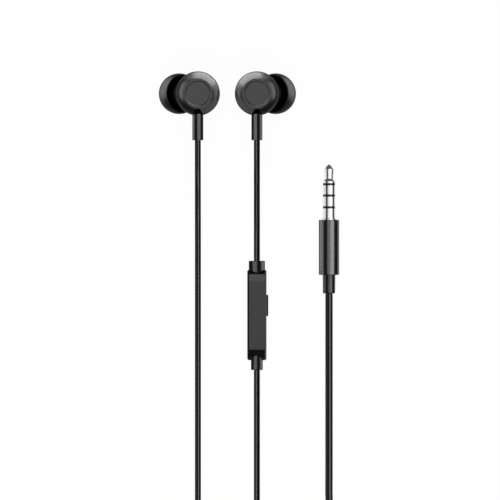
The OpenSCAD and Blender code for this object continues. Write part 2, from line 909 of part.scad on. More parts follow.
// Pointed tip of the pin with the rod that runs back through the insulator
module plug_tip() {
    color(STEEL)
        on_plug()
            rotate_extrude()
                polygon([
                    [0, pin_len], [0.2, pin_len - 0.06], [point_r, pin_len - point_len],
                    [point_r, pin_len - point_len - 0.15], [neck_r, neck_at], [pin_r, flare_at],
                    [pin_r, bands[0] + band_t / 2], [rod_r, bands[0] + band_t / 2],
                    [rod_r, -front_wall - rod_tail], [0, -front_wall - rod_tail]
                ]);
}

module plug_front_ring() {
    color(STEEL)
        on_plug()
            tube(pin_r, tube_r, bands[1] + band_t / 2, bands[0] - band_t / 2);
}

module plug_rear_ring() {
    color(STEEL)
        on_plug()
            tube(pin_r, tube_r, bands[2] + band_t / 2, bands[1] - band_t / 2);
}

// Ground contact: the rear of the pin, its collar and the flange inside the barrel
module plug_ground() {
    color(STEEL)
        on_plug()
            rotate_extrude()
                polygon([
                    [tube_r, bands[2] - band_t / 2], [pin_r, bands[2] - band_t / 2], [pin_r, collar_len],
                    [collar_r, collar_len - 0.15], [collar_r, -front_wall],
                    [plug_bore_r - 0.02, -front_wall],
                    [plug_bore_r - 0.02, -front_wall - ground_flange_t],
                    [tube_r, -front_wall - ground_flange_t]
                ]);
}

// One moulding: a tube round the rod and the three bands between the contacts
module plug_insulator() {
    color(BLACK)
        on_plug() {
            tube(tube_r, rod_r, -front_wall - ground_flange_t, bands[0] + band_t / 2);
            for (at = bands)
                tube(pin_r, tube_r - EPS, at - band_t / 2, at + band_t / 2);
        }
}

module plug_relief() {
    color(BLACK)
        on_plug()
            difference() {
                union() {
                    translate([0, 0, -barrel_len - relief_len])
                        cylinder(d = relief_d, h = relief_len + relief_root);
                    translate([0, 0, -barrel_len + 0.2])
                        cylinder(r = plug_bore_r - 0.02, h = relief_root);
                }
                translate([0, 0, -barrel_len - relief_len + 0.5])
                    cylinder(d = main_d, h = relief_len + relief_root + 1);
            }
}

// ---- Splitter ----

// Moulded body that narrows from the two branches to the main cord
module splitter_body() {
    bevel = 0.7;
    tail_w = splitter_w - 2.0;
    color(BLACK)
        translate([0, -splitter_front, 0])
            difference() {
                intersection() {
                    linear_extrude(height = splitter_t)
                        polygon([
                            [-splitter_w / 2 + bevel, 0], [splitter_w / 2 - bevel, 0],
                            [splitter_w / 2, -bevel], [splitter_w / 2, -splitter_len * 0.4],
                            [tail_w / 2, -splitter_len + bevel], [tail_w / 2 - bevel, -splitter_len],
                            [-tail_w / 2 + bevel, -splitter_len], [-tail_w / 2, -splitter_len + bevel],
                            [-splitter_w / 2, -splitter_len * 0.4], [-splitter_w / 2, -bevel]
                        ]);
                    rotate([90, 0, 0])
                        linear_extrude(height = splitter_len)
                            polygon([
                                [-splitter_w / 2 + bevel, 0], [splitter_w / 2 - bevel, 0],
                                [splitter_w / 2, bevel], [splitter_w / 2, splitter_t - bevel],
                                [splitter_w / 2 - bevel, splitter_t],
                                [-splitter_w / 2 + bevel, splitter_t],
                                [-splitter_w / 2, splitter_t - bevel], [-splitter_w / 2, bevel]
                            ]);
                }
                translate([0, -splitter_len + 1.5, splitter_z])
                    rotate([90, 0, 0])
                        cylinder(d = splitter_relief_d - 0.8, h = splitter_len);
            }
}

module splitter_relief() {
    color(BLACK)
        translate([0, -splitter_front - splitter_len, splitter_z])
            rotate([90, 0, 0]) {
                cylinder(d = splitter_relief_d, h = splitter_relief_len);
                translate([0, 0, -1.5])
                    cylinder(d = splitter_relief_d - 0.8, h = 1.5 + EPS);
            }
}

// ---- Cords ----

module left_cord() {
    start = [-stem_end[0], stem_end[1], stem_end[2]];
    finish = [-BRANCH_COIL[0][0], BRANCH_COIL[0][1], BRANCH_COIL[0][2]];
    color(BLACK)
        cord(led(start, LEFT_ROUTE, finish, branch_d), branch_d, CORD_SIDES);
}

module left_cord_coil() {
    color(BLACK)
        mirror([1, 0, 0])
            cord(BRANCH_COIL, branch_d, COIL_SIDES);
}

module right_cord_upper() {
    finish = [remote_x, remote_y + remote_len / 2 + upper_sleeve_out, remote_seam];
    color(BLACK)
        cord(led(stem_end, RIGHT_UPPER_ROUTE, finish, branch_d), branch_d, CORD_SIDES);
}

module right_cord_lower() {
    start = [remote_x, remote_y - remote_len / 2 - lower_sleeve_out, remote_seam];
    color(BLACK)
        cord(led(start, RIGHT_LOWER_ROUTE, BRANCH_COIL[0], branch_d), branch_d, CORD_SIDES);
}

module right_cord_coil() {
    color(BLACK)
        cord(BRANCH_COIL, branch_d, COIL_SIDES);
}

// Tail of the right branch, from its coil to the splitter
module right_cord_tail() {
    start = BRANCH_COIL[len(BRANCH_COIL) - 1];
    finish = [splitter_pitch / 2, -splitter_front, splitter_z];
    color(BLACK)
        cord(led(start, TAIL_ROUTE, finish, branch_d), branch_d, CORD_SIDES);
}

module left_cord_tail() {
    mirror([1, 0, 0])
        right_cord_tail();
}

module main_cord() {
    start = [plug_x, -plug_front - barrel_len - relief_len, barrel_r];
    finish = MAIN_COIL[len(MAIN_COIL) - 1];
    color(BLACK)
        cord(led(start, MAIN_ROUTE, finish, main_d), main_d, CORD_SIDES);
}

module main_cord_coil() {
    color(BLACK)
        cord(MAIN_COIL, main_d, COIL_SIDES);
}

module main_cord_tail() {
    start = [0, -splitter_front - splitter_len - splitter_relief_len, splitter_z];
    color(BLACK)
        cord(led(start, MAIN_TAIL_ROUTE, MAIN_COIL[0], main_d), main_d, CORD_SIDES);
}

// Band round the turns on the coil's side away from the cords
module coil_tie(centre, outer_r, pitch, turns, layers, d) {
    bore_r = outer_r - pitch * turns - d / 2;
    inner_r = sqrt(bore_r * bore_r - tie_w * tie_w / 4) - 0.05;
    reach = outer_r + d / 2 + 0.05;
    height = (layers - 1) * pitch + d + 0.1;
    color(DARK)
        translate([centre[0], centre[1], 0])
            difference() {
                block([-tie_w / 2, -reach - tie_t, 0], [tie_w / 2, -inner_r + tie_t, height + 2 * tie_t]);
                block([-tie_w, -reach, tie_t], [tie_w, -inner_r, height + tie_t]);
            }
}

module right_coil_tie() {
    coil_tie([bud_x + branch_outer_r, branch_coil_y], branch_outer_r, branch_pitch,
        branch_turns, branch_layers, branch_d);
}

module left_coil_tie() {
    mirror([1, 0, 0])
        right_coil_tie();
}

module main_coil_tie() {
    coil_tie([main_coil_x, main_coil_y], main_outer_r, main_pitch, main_turns, main_layers, main_d);
}

on_bud(-1) back_shell();  // left_back_shell
on_bud(-1) face_cap();  // left_face_cap
on_bud(-1) front_shell();  // left_front_shell
on_bud(-1) nozzle_mesh();  // left_nozzle_mesh
on_bud(-1) ear_tip();  // left_ear_tip
on_bud(-1) stem_sleeve();  // left_stem_sleeve
on_bud(-1) driver_frame();  // left_driver_frame
on_bud(-1) driver_yoke();  // left_driver_yoke
on_bud(-1) driver_magnet();  // left_driver_magnet
on_bud(-1) pole_plate();  // left_pole_plate
on_bud(-1) voice_coil();  // left_voice_coil
on_bud(-1) diaphragm();  // left_diaphragm
on_bud(1) back_shell();  // right_back_shell
on_bud(1) face_cap();  // right_face_cap
on_bud(1) front_shell();  // right_front_shell
on_bud(1) nozzle_mesh();  // right_nozzle_mesh
on_bud(1) ear_tip();  // right_ear_tip
on_bud(1) stem_sleeve();  // right_stem_sleeve
on_bud(1) driver_frame();  // right_driver_frame
on_bud(1) driver_yoke();  // right_driver_yoke
on_bud(1) driver_magnet();  // right_driver_magnet
on_bud(1) pole_plate();  // right_pole_plate
on_bud(1) voice_coil();  // right_voice_coil
on_bud(1) diaphragm();  // right_diaphragm
remote_front_shell();
remote_back_shell();
remote_button();
remote_board();
remote_switch();
remote_microphone();
remote_upper_sleeve();
remote_lower_sleeve();
plug_barrel();
plug_core();
plug_tip();
plug_front_ring();
plug_rear_ring();
plug_ground();
plug_insulator();
plug_relief();
splitter_body();
splitter_relief();
left_cord();
left_cord_coil();
left_cord_tail();
right_cord_upper();
right_cord_lower();
right_cord_coil();
right_cord_tail();
main_cord();
main_cord_coil();
main_cord_tail();
left_coil_tie();
right_coil_tie();
main_coil_tie();
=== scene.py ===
"""Wired in-ear earphones: the surfaces, finishes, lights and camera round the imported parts.

Sizes inside the classes are in millimetres and become metres when a mesh is made.
"""

from __future__ import annotations

import sys

import json
import logging
import math
from dataclasses import dataclass, field
from enum import Enum
from typing import Any, Callable, Sequence

import bpy
import numpy as np
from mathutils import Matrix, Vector

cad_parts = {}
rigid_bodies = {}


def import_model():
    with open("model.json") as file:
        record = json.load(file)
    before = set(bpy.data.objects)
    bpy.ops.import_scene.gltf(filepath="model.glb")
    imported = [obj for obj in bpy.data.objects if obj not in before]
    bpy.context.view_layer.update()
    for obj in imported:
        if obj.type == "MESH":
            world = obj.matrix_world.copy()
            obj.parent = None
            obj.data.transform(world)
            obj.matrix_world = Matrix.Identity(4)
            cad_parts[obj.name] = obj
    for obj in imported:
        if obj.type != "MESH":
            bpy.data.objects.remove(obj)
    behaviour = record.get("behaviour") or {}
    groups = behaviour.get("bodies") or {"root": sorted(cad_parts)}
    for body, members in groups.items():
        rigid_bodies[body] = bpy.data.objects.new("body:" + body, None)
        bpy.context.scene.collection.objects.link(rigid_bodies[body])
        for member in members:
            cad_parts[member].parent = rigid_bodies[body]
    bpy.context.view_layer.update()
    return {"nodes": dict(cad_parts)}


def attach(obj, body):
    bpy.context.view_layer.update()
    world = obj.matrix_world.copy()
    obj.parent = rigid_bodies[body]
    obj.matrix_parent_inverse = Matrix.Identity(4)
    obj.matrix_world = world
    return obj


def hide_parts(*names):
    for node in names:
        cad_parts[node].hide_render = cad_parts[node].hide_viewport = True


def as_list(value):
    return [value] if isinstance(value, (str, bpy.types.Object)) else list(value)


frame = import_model()

log = logging.getLogger("earphones")
MM = 0.001

Point = tuple[float, float, float]
Inputs = dict[str, Any]


# ---- Surfaces ----


@dataclass(frozen=True)
class Place:
    """Where a piece's own axes stand on the object, in millimetres."""

    origin: Point = (0.0, 0.0, 0.0)
    x: Point = (1.0, 0.0, 0.0)
    y: Point = (0.0, 1.0, 0.0)
    z: Point = (0.0, 0.0, 1.0)

    def metres(self, points: np.ndarray) -> np.ndarray:
        """Local points in millimetres as metres of the object: origin + X x + Y y + Z z."""
        axes = np.array([self.x, self.y, self.z])
        return (np.array(self.origin) + points @ axes) * MM


FLOOR = Place()


def surface(
    name: str,
    grid: np.ndarray,
    place: Place = FLOOR,
    loop_rows: bool = False,
    loop_columns: bool = True,
) -> bpy.types.Object:
    """Turns a grid of points into a closed mesh object at the origin.

    Each face joins points (i, j), (i, j+1), (i+1, j+1) and (i+1, j). A first or last row whose
    points are all the same becomes one vertex with a fan of triangles. The faces are turned
    outwards by the sign of the volume, sum(a . (b x c)) / 6 over all triangles.

    Args:
        name: Name of the object.
        grid: Points as (rows, columns, 3), in millimetres of the place.
        place: The axes that the points are in.
        loop_rows: Whether the last row joins the first.
        loop_columns: Whether the last column joins the first.

    Returns:
        The new object, with a UV map of the share round and the length along, in millimetres.
    """
    rows, columns = grid.shape[:2]
    first_pole = not loop_rows and np.ptp(grid[0], axis=0).max() < 1e-7
    last_pole = not loop_rows and np.ptp(grid[-1], axis=0).max() < 1e-7
    i, j = np.meshgrid(
        np.arange(rows if loop_rows else rows - 1),
        np.arange(columns if loop_columns else columns - 1),
        indexing="ij",
    )
    corner_i = np.stack([i, i, i + 1, i + 1], -1).reshape(-1, 4)
    corner_j = np.stack([j, j + 1, j + 1, j], -1).reshape(-1, 4)
    index = (corner_i % rows) * columns + corner_j % columns
    top, bottom = (corner_i[:, 0] == 0) & first_pole, (corner_i[:, 2] == rows - 1) & last_pole
    quads = ~(top | bottom)
    index[top, 0] = index[top, 1] = 0
    index[bottom, 2] = index[bottom, 3] = (rows - 1) * columns
    fans = [index[top][:, [0, 2, 3]], index[bottom][:, [0, 1, 2]]]
    along = np.concatenate([[0.0], np.cumsum(np.linalg.norm(
        np.diff(np.vstack([grid[:, 0], grid[:1, 0]]), axis=0), axis=1))])
    uv_of = lambda ii, jj: np.stack([jj / columns, along[ii]], -1).reshape(-1, 2)
    uvs = np.vstack([
        uv_of(corner_i[quads], corner_j[quads]),
        uv_of(corner_i[top][:, [0, 2, 3]], corner_j[top][:, [0, 2, 3]]),
        uv_of(corner_i[bottom][:, [0, 1, 2]], corner_j[bottom][:, [0, 1, 2]]),
    ])
    points = place.metres(grid.reshape(-1, 3).astype(float))
    triangles = np.vstack([index[quads][:, :3], index[quads][:, [0, 2, 3]], *fans])
    a, b, c = (points[triangles[:, k]] for k in range(3))
    loops = np.concatenate([index[quads].ravel(), *(f.ravel() for f in fans)])
    sizes = np.concatenate([np.full(quads.sum(), 4), np.full(sum(map(len, fans)), 3)])
    starts = np.concatenate([[0], np.cumsum(sizes)[:-1]])
    used, loops = np.unique(loops, return_inverse=True)
    mesh = bpy.data.meshes.new(name)
    mesh.vertices.add(len(used))
    mesh.vertices.foreach_set("co", points[used].ravel())
    mesh.loops.add(len(loops))
    mesh.loops.foreach_set("vertex_index", loops.ravel())
    mesh.polygons.add(len(starts))
    mesh.polygons.foreach_set("loop_start", starts)
    mesh.update(calc_edges=True)
    mesh.uv_layers.new(name="UVMap").data.foreach_set("uv", uvs.ravel())
    if np.einsum("ij,ij->i", a, np.cross(b, c)).sum() < 0:
        mesh.flip_normals()
    mesh.validate()
    mesh.shade_smooth()
    made = bpy.data.objects.new(name, mesh)
    bpy.context.scene.collection.objects.link(made)
    return made


def even_shading(piece: bpy.types.Object) -> bpy.types.Object:
    """Keeps broad faces flat beside their rounded edges, by weighting the normals by area."""
    weighted = piece.modifiers.new("even_shading", "WEIGHTED_NORMAL")
    weighted.keep_sharp = True
    return piece


def rounded(corners: Sequence[Sequence[float]], closed: bool = True, steps: int = 5) -> np.ndarray:
    """Rounds the corners of a flat outline with arcs.

    At a corner whose sides meet at an angle 2h, an arc of radius r touches both sides r / tan(h)
    away from it, about a centre on the bisector at r / sin(h).

    Args:
        corners: (x, y, radius) of each corner.
        closed: Whether the last corner joins the first.
        steps: Segments of each arc.

    Returns:
        The outline's points as (n, 2).
    """
    at = np.array([c[:2] for c in corners], float)
    parts = []
    for k, (x, y, radius) in enumerate(corners):
        if radius <= 0 or (not closed and k in (0, len(corners) - 1)):
            parts.append([[x, y]])
            continue
        back, ahead = at[k - 1] - at[k], at[(k + 1) % len(at)] - at[k]
        back, ahead = back / np.linalg.norm(back), ahead / np.linalg.norm(ahead)
        half = math.acos(float(np.clip(back @ ahead, -1, 1))) / 2
        centre = at[k] + (back + ahead) / np.linalg.norm(back + ahead) * radius / math.sin(half)
        start = at[k] + back * radius / math.tan(half) - centre
        end = at[k] + ahead * radius / math.tan(half) - centre
        share = np.linspace(0, 1, steps + 1)[:, None]
        swept = math.pi - 2 * half
        parts.append(centre + (np.sin((1 - share) * swept) * start + np.sin(share * swept) * end)
                     / math.sin(swept))
    return np.vstack(parts)


def arc(centre: Sequence[float], radius: float, start: float, end: float, steps: int) -> np.ndarray:
    """Points of an arc, centre + radius (cos a, sin a), with a from start to end in degrees."""
    a = np.radians(np.linspace(start, end, steps + 1))
    return np.stack([centre[0] + radius * np.cos(a), centre[1] + radius * np.sin(a)], -1)


def turned(
    name: str, outline: np.ndarray, place: Place, sides: int = 96, closed: bool = True
) -> bpy.types.Object:
    """A turned piece: (r, h) of the outline goes to (r cos a, r sin a, h) all round the axis Z.

    Args:
        name: Name of the object.
        outline: The radius and height of each point of the section.
        place: The axes of the piece.
        sides: Points round the axis.
        closed: Whether the outline is a loop off the axis; otherwise it starts and ends on it.

    Returns:
        The new object.
    """
    a = np.linspace(0, 2 * np.pi, sides, endpoint=False)
    r, h = outline[:, :1], np.repeat(outline[:, 1:2], sides, axis=1)
    grid = np.stack([r * np.cos(a), r * np.sin(a), h], -1)
    return even_shading(surface(name, grid, place, loop_rows=closed))


def smooth_route(points: Sequence[Sequence[float]], spacing: float) -> np.ndarray:
    """A smooth line through points, evenly spaced.

    Between two points it is the Hermite cubic on the distance between them. The direction at each
    point is the mean of the slopes on both sides, each weighted by the other side's length.

    Args:
        points: The route's points.
        spacing: Distance between the points of the result.

    Returns:
        The line's points as (n, 3).
    """
    p = np.array(points, float)
    d = np.linalg.norm(np.diff(p, axis=0), axis=1)
    slope = np.diff(p, axis=0) / d[:, None]
    middle = (slope[:-1] * d[1:, None] + slope[1:] * d[:-1, None]) / (d[1:] + d[:-1])[:, None]
    m = np.vstack([slope[:1], middle, slope[-1:]])
    at = np.concatenate([[0], np.cumsum(d)])
    s = np.linspace(0, at[-1], max(2, int(at[-1] / (spacing / 4))))
    k = np.clip(np.searchsorted(at, s, side="right") - 1, 0, len(d) - 1)
    t, w = ((s - at[k]) / d[k])[:, None], d[k][:, None]
    fine = ((2 * t**3 - 3 * t**2 + 1) * p[k] + (t**3 - 2 * t**2 + t) * w * m[k]
            + (3 * t**2 - 2 * t**3) * p[k + 1] + (t**3 - t**2) * w * m[k + 1])
    run = np.concatenate([[0], np.cumsum(np.linalg.norm(np.diff(fine, axis=0), axis=1))])
    even = np.linspace(0, run[-1], int(run[-1] / spacing) + 1)
    return np.stack([np.interp(even, run, fine[:, c]) for c in range(3)], -1)


def length_of(line: np.ndarray) -> float:
    """Length of a line of points, in the units of its points."""
    return float(np.linalg.norm(np.diff(line, axis=0), axis=1).sum())


def tube(name: str, line: np.ndarray, radius: float, sides: int = 20) -> bpy.types.Object:
    """A round tube along a line, c + radius (cos a side + sin a up), with domed ends.

    The side is the line's direction crossed with +Z, and up is the side crossed with it. The last
    rings shrink as a quarter circle and end in a pole.

    Args:
        name: Name of the object.
        line: Points of the centre line, in millimetres.
        radius: Radius of the tube.
        sides: Points round it.

    Returns:
        The new object.
    """
    along = np.gradient(line, axis=0)
    along /= np.linalg.norm(along, axis=1)[:, None]
    side = np.cross(along, [0, 0, 1])
    side /= np.linalg.norm(side, axis=1)[:, None]
    up = np.cross(side, along)
    a = np.linspace(0, 2 * np.pi, sides, endpoint=False)
    ring = np.cos(a)[None, :, None] * side[:, None] + np.sin(a)[None, :, None] * up[:, None]
    grid = line[:, None] + radius * ring
    edge = 0.25 * radius
    lift = np.array([1.0, 0.7, 0.3, 0.0])
    shrink = 1 - (1 - np.sqrt(1 - lift**2)) * edge / radius
    first = line[0] + radius * shrink[:-1, None, None] * ring[0] + edge * (1 - lift[:-1])[:, None, None] * along[0]
    last = line[-1] + radius * shrink[:-1, None, None] * ring[-1] - edge * (1 - lift[:-1])[:, None, None] * along[-1]
    poles = [np.repeat(line[k][None, None], sides, axis=1) for k in (0, -1)]
    rows = np.vstack([poles[0], first, grid[1:-1], last[::-1], poles[1]])
    return surface(name, rows)


def rounded_rectangle(half_a: np.ndarray, half_b: np.ndarray, r: np.ndarray, steps: int = 6) -> np.ndarray:
    """Outlines of rectangles with round corners, one for each entry of the sizes.

    Args:
        half_a: Half of each width.
        half_b: Half of each length.
        r: Corner radius of each.
        steps: Segments of each corner.

    Returns:
        Points as (entries, 4 (steps + 1), 2), going round anticlockwise.
    """
    a = np.radians(np.concatenate([np.linspace(q, q + 90, steps + 1) for q in (0, 90, 180, 270)]))
    sign_a = np.repeat([1, -1, -1, 1], steps + 1)
    sign_b = np.repeat([1, 1, -1, -1], steps + 1)
    half_a, half_b, r = (np.asarray(v, float)[:, None] for v in (half_a, half_b, r))
    return np.stack([sign_a * (half_a - r) + r * np.cos(a), sign_b * (half_b - r) + r * np.sin(a)], -1)


def slab(
    name: str, place: Place, half_a: float, half_b: float, corner: float, low: float, high: float,
    low_edge: float, high_edge: float,
) -> bpy.types.Object:
    """A rounded block: a rounded rectangle carried along Z whose size shrinks at both ends.

    An edge radius e insets the rectangle by e (1 - cos a) at a height e (1 - sin a) from the end.

    Args:
        name: Name of the object.
        place: The axes of the piece.
        half_a: Half of its size along X.
        half_b: Half of its size along Y.
        corner: Radius of the corners seen along Z.
        low: Lower end.
        high: Upper end.
        low_edge: Radius of the edges at the lower end.
        high_edge: Radius of the edges at the upper end.

    Returns:
        The new object.
    """
    a = np.radians(np.linspace(90, 0, 6))
    heights = np.concatenate([low + low_edge * (1 - np.sin(a)), (high - high_edge * (1 - np.sin(a)))[::-1]])
    inset = np.concatenate([low_edge * (1 - np.cos(a)), (high_edge * (1 - np.cos(a)))[::-1]])
    flat = rounded_rectangle(half_a - inset, half_b - inset, np.maximum(corner - inset, 0.02))
    grid = np.concatenate([flat, np.repeat(heights[:, None, None], flat.shape[1], 1)], -1)
    ends = [np.repeat([[[0, 0, h]]], flat.shape[1], 1) for h in (low, high)]
    return even_shading(surface(name, np.vstack([ends[0], grid, ends[1]]), place))


def carved(piece: bpy.types.Object, *cutters: bpy.types.Object) -> bpy.types.Object:
    """Cuts closed solids out of a piece and deletes them.

    Args:
        piece: The piece, which keeps its modifiers.
        *cutters: The solids to take away.

    Returns:
        The same piece with its new mesh.
    """
    kept = [m.name for m in piece.modifiers]
    for name in kept:
        piece.modifiers[name].show_viewport = False
    for cutter in cutters:
        cut = piece.modifiers.new("cut", "BOOLEAN")
        cut.operation, cut.solver, cut.object = "DIFFERENCE", "EXACT", cutter
        bpy.context.view_layer.update()
        shape = bpy.data.meshes.new_from_object(piece.evaluated_get(bpy.context.evaluated_depsgraph_get()))
        piece.modifiers.remove(cut)
        piece.data = shape
        bpy.data.objects.remove(cutter)
    for name in kept:
        piece.modifiers[name].show_viewport = True
    piece.data.shade_smooth()
    piece.data.set_sharp_from_angle(angle=math.radians(32))
    return piece


# ---- Shaders ----


class Value:
    """A shader's socket on which Python's operators add Math nodes."""

    def __init__(self, shader: "Shader", socket: bpy.types.NodeSocket) -> None:
        """Keeps the shader and the output socket."""
        self.shader, self.socket = shader, socket

    def _math(self, operation: str, *values: Any) -> "Value":
        """A Math node of that operation on the values."""
        made = self.shader.node("ShaderNodeMath", {"operation": operation}, dict(enumerate(values)))
        return Value(self.shader, made.outputs[0])

    def __add__(self, other: Any) -> "Value":
        """This value plus another."""
        return self._math("ADD", self, other)

    def __sub__(self, other: Any) -> "Value":
        """This value less another."""
        return self._math("SUBTRACT", self, other)

    def __rsub__(self, other: Any) -> "Value":
        """Another value less this one."""
        return self._math("SUBTRACT", other, self)

    def __mul__(self, other: Any) -> "Value":
        """This value times another."""
        return self._math("MULTIPLY", self, other)

    __radd__, __rmul__ = __add__, __mul__

    def __truediv__(self, other: Any) -> "Value":
        """This value over another."""
        return self._math("DIVIDE", self, other)

    def __pow__(self, other: Any) -> "Value":
        """This value to a power."""
        return self._math("POWER", self, other)

    def ramp(self, low: float, high: float) -> "Value":
        """Runs smoothly from 0 at low to 1 at high."""
        made = self.shader.node(
            "ShaderNodeMapRange", {"interpolation_type": "SMOOTHSTEP", "clamp": True},
            {"Value": self, "From Min": low, "From Max": high},
        )
        return Value(self.shader, made.outputs["Result"])

    def sine(self) -> "Value":
        """Its sine."""
        return self._math("SINE", self)

    def size(self) -> "Value":
        """Its absolute value."""
        return self._math("ABSOLUTE", self)

    def turn(self, other: "Value") -> "Value":
        """The angle whose tangent is this value over another, in degrees."""
        return self._math("ARCTAN2", self, other) * (180 / math.pi)


class Shader:
    """The node tree of one material or of the world."""

    def __init__(self, owner: bpy.types.Material | bpy.types.World) -> None:
        """Empties the owner's tree and keeps it."""
        owner.use_nodes = True
        self.tree = owner.node_tree
        self.tree.nodes.clear()

    def node(self, kind: str, settings: Inputs | None = None, inputs: Inputs | None = None) -> Any:
        """Adds a node.

        Args:
            kind: The node's type.
            settings: Its properties, set first; "stops" sets a ramp's positions and colours.
            inputs: Values or links of its sockets, by name or number.

        Returns:
            The new node.
        """
        made = self.tree.nodes.new(kind)
        for name, value in (settings or {}).items():
            if name == "stops":
                ramp = made.color_ramp
                while len(ramp.elements) < len(value):
                    ramp.elements.new(0.5)
                for element, (at, shade) in zip(ramp.elements, value):
                    element.position, element.color = at, (*shade, 1)
            else:
                setattr(made, name, value)
        for name, value in (inputs or {}).items():
            if isinstance(value, Value):
                self.tree.links.new(value.socket, made.inputs[name])
            elif isinstance(value, bpy.types.NodeSocket):
                self.tree.links.new(value, made.inputs[name])
            else:
                made.inputs[name].default_value = value
        return made

    def place(self, coordinates: str, scale: Sequence[float] = (1, 1, 1)) -> bpy.types.NodeSocket:
        """Texture coordinates of that kind, stretched by a scale."""
        at = self.node("ShaderNodeTexCoord").outputs[coordinates]
        return self.node("ShaderNodeMapping", {}, {"Vector": at, "Scale": scale}).outputs["Vector"]

    def grain(self, size: float, detail: float = 2.0, scale: Sequence[float] = (1, 1, 1),
              coordinates: str = "Object") -> Value:
        """Noise whose features are about size millimetres across, on Object coordinates or UV."""
        per_unit = 1 / size if coordinates == "UV" else 1 / (size * MM)
        made = self.node("ShaderNodeTexNoise", {}, {
            "Vector": self.place(coordinates, scale), "Scale": per_unit, "Detail": detail})
        return Value(self, made.outputs["Fac"])

    def blend(self, share: Value, first: Sequence[float], second: Sequence[float]) -> bpy.types.NodeSocket:
        """Colour that goes from the first to the second as the share goes from 0 to 1."""
        made = self.node("ShaderNodeMix", {"data_type": "RGBA"}, {0: share, 6: (*first, 1), 7: (*second, 1)})
        return made.outputs[2]

    def relief(self, height: Value, depth: float) -> bpy.types.NodeSocket:
        """Normal of a relief whose height runs over depth millimetres."""
        return self.node("ShaderNodeBump", {}, {
            "Height": height, "Strength": 1.0, "Distance": depth * MM}).outputs["Normal"]

    def close(self, kind: str, inputs: Inputs) -> None:
        """Adds the closing shader and its output."""
        made = self.node(kind, {}, inputs)
        world = kind == "ShaderNodeBackground"
        output = self.node("ShaderNodeOutputWorld" if world else "ShaderNodeOutputMaterial")
        self.tree.links.new(made.outputs[0], output.inputs["Surface"])


@dataclass(frozen=True)
class Finish:
    """A surface finish that makes its own material."""

    name: str
    color: Point
    rough: float

    def paint(self, shader: Shader) -> Inputs:
        """The inputs of the surface shader; each kind of finish has its own."""
        raise NotImplementedError

    def material(self) -> bpy.types.Material:
        """The finish's material, made when it is first asked for."""
        found = bpy.data.materials.get(self.name)
        if found is None:
            found = bpy.data.materials.new(self.name)
            shader = Shader(found)
            inputs = {"Base Color": (*self.color, 1), "Roughness": self.rough, **self.paint(shader)}
            shader.close("ShaderNodeBsdfPrincipled", inputs)
        return found

    def dress(self, *pieces: bpy.types.Object) -> None:
        """Gives the pieces this finish."""
        for piece in pieces:
            if not piece.material_slots:
                piece.data.materials.append(self.material())
            piece.material_slots[0].material = self.material()


def shades(color: Point, spread: float) -> tuple[Point, Point]:
    """A darker and a lighter colour, each the spread's share away from the given one."""
    return tuple(c * (1 - spread) for c in color), tuple(c * (1 + spread) for c in color)


@dataclass(frozen=True)
class Moulded(Finish):
    """Injection-moulded plastic: fine texture from the mould, faint marks from handling."""

    grain_size: float = 0.12
    grain_depth: float = 0.002
    specular: float = 0.5
    ior: float = 1.5

    def paint(self, shader: Shader) -> Inputs:
        """Fine grain in the relief, slow waviness in the gloss, and cloudy faint wear."""
        grain = shader.grain(self.grain_size, 3.0)
        wave = shader.grain(3.5, 1.0)
        wear = shader.grain(0.9, 4.0).ramp(0.52, 0.75)
        return {
            "Base Color": shader.blend(wave, *shades(self.color, 0.12)),
            "Roughness": self.rough + wear * 0.05 + (grain - 0.5) * 0.04,
            "Normal": shader.relief(grain, self.grain_depth),
            "Specular IOR Level": self.specular,
            "IOR": self.ior,
        }


@dataclass(frozen=True)
class Silicone(Finish):
    """Soft silicone: matt skin with a soft sheen and a few specks of dust."""

    sheen: float = 0.15
    specular: float = 0.4

    def paint(self, shader: Shader) -> Inputs:
        """A fine skin in the relief; dust specks where a sparse noise peaks."""
        skin = shader.grain(0.09, 2.0)
        dust = shader.grain(0.22, 1.0).ramp(0.72, 0.78)
        return {
            "Base Color": shader.blend(dust * 0.35, self.color, (0.05, 0.05, 0.05)),
            "Roughness": self.rough + dust * 0.25 + (skin - 0.5) * 0.08,
            "Normal": shader.relief(skin, 0.0015),
            "Sheen Weight": self.sheen,
            "Sheen Roughness": 0.4,
            "Specular IOR Level": self.specular,
        }


@dataclass(frozen=True)
class Jacket(Finish):
    """Extruded cord jacket: lines along the cord from the die and a slight unevenness."""

    specular: float = 0.5

    def paint(self, shader: Shader) -> Inputs:
        """Noise stretched along the cord's length on its own UV map, and a fine grain."""
        lines = shader.grain(1.0, 2.0, (14.0, 0.03, 1.0), "UV")
        grain = shader.grain(0.16, 2.0)
        return {
            "Base Color": shader.blend(lines, *shades(self.color, 0.2)),
            "Roughness": self.rough + (lines - 0.5) * 0.12,
            "Normal": shader.relief(lines * 0.5 + grain * 0.5, 0.0025),
            "Specular IOR Level": self.specular,
        }


@dataclass(frozen=True)
class Plated(Finish):
    """Turned and plated metal: fine rings from the lathe round each contact."""

    pitch: float = 0.07
    tarnish: float = 0.12

    def paint(self, shader: Shader) -> Inputs:
        """Rings on the UV map's length, sin(2 pi v / pitch), and a cloudy tarnish."""
        along = Value(shader, shader.node("ShaderNodeSeparateXYZ", {}, {
            "Vector": shader.place("UV")}).outputs["Y"])
        rings = (along * (2 * math.pi / self.pitch)).sine() * 0.5 + 0.5
        cloud = shader.grain(0.8, 4.0)
        return {
            "Base Color": shader.blend(cloud.ramp(0.5, 0.8) * self.tarnish * 4, self.color,
                                       tuple(c * 0.7 for c in self.color)),
            "Roughness": self.rough + (cloud - 0.5) * 0.12,
            "Normal": shader.relief(rings * 0.6 + cloud * 0.4, 0.0006),
            "Metallic": 1.0,
        }


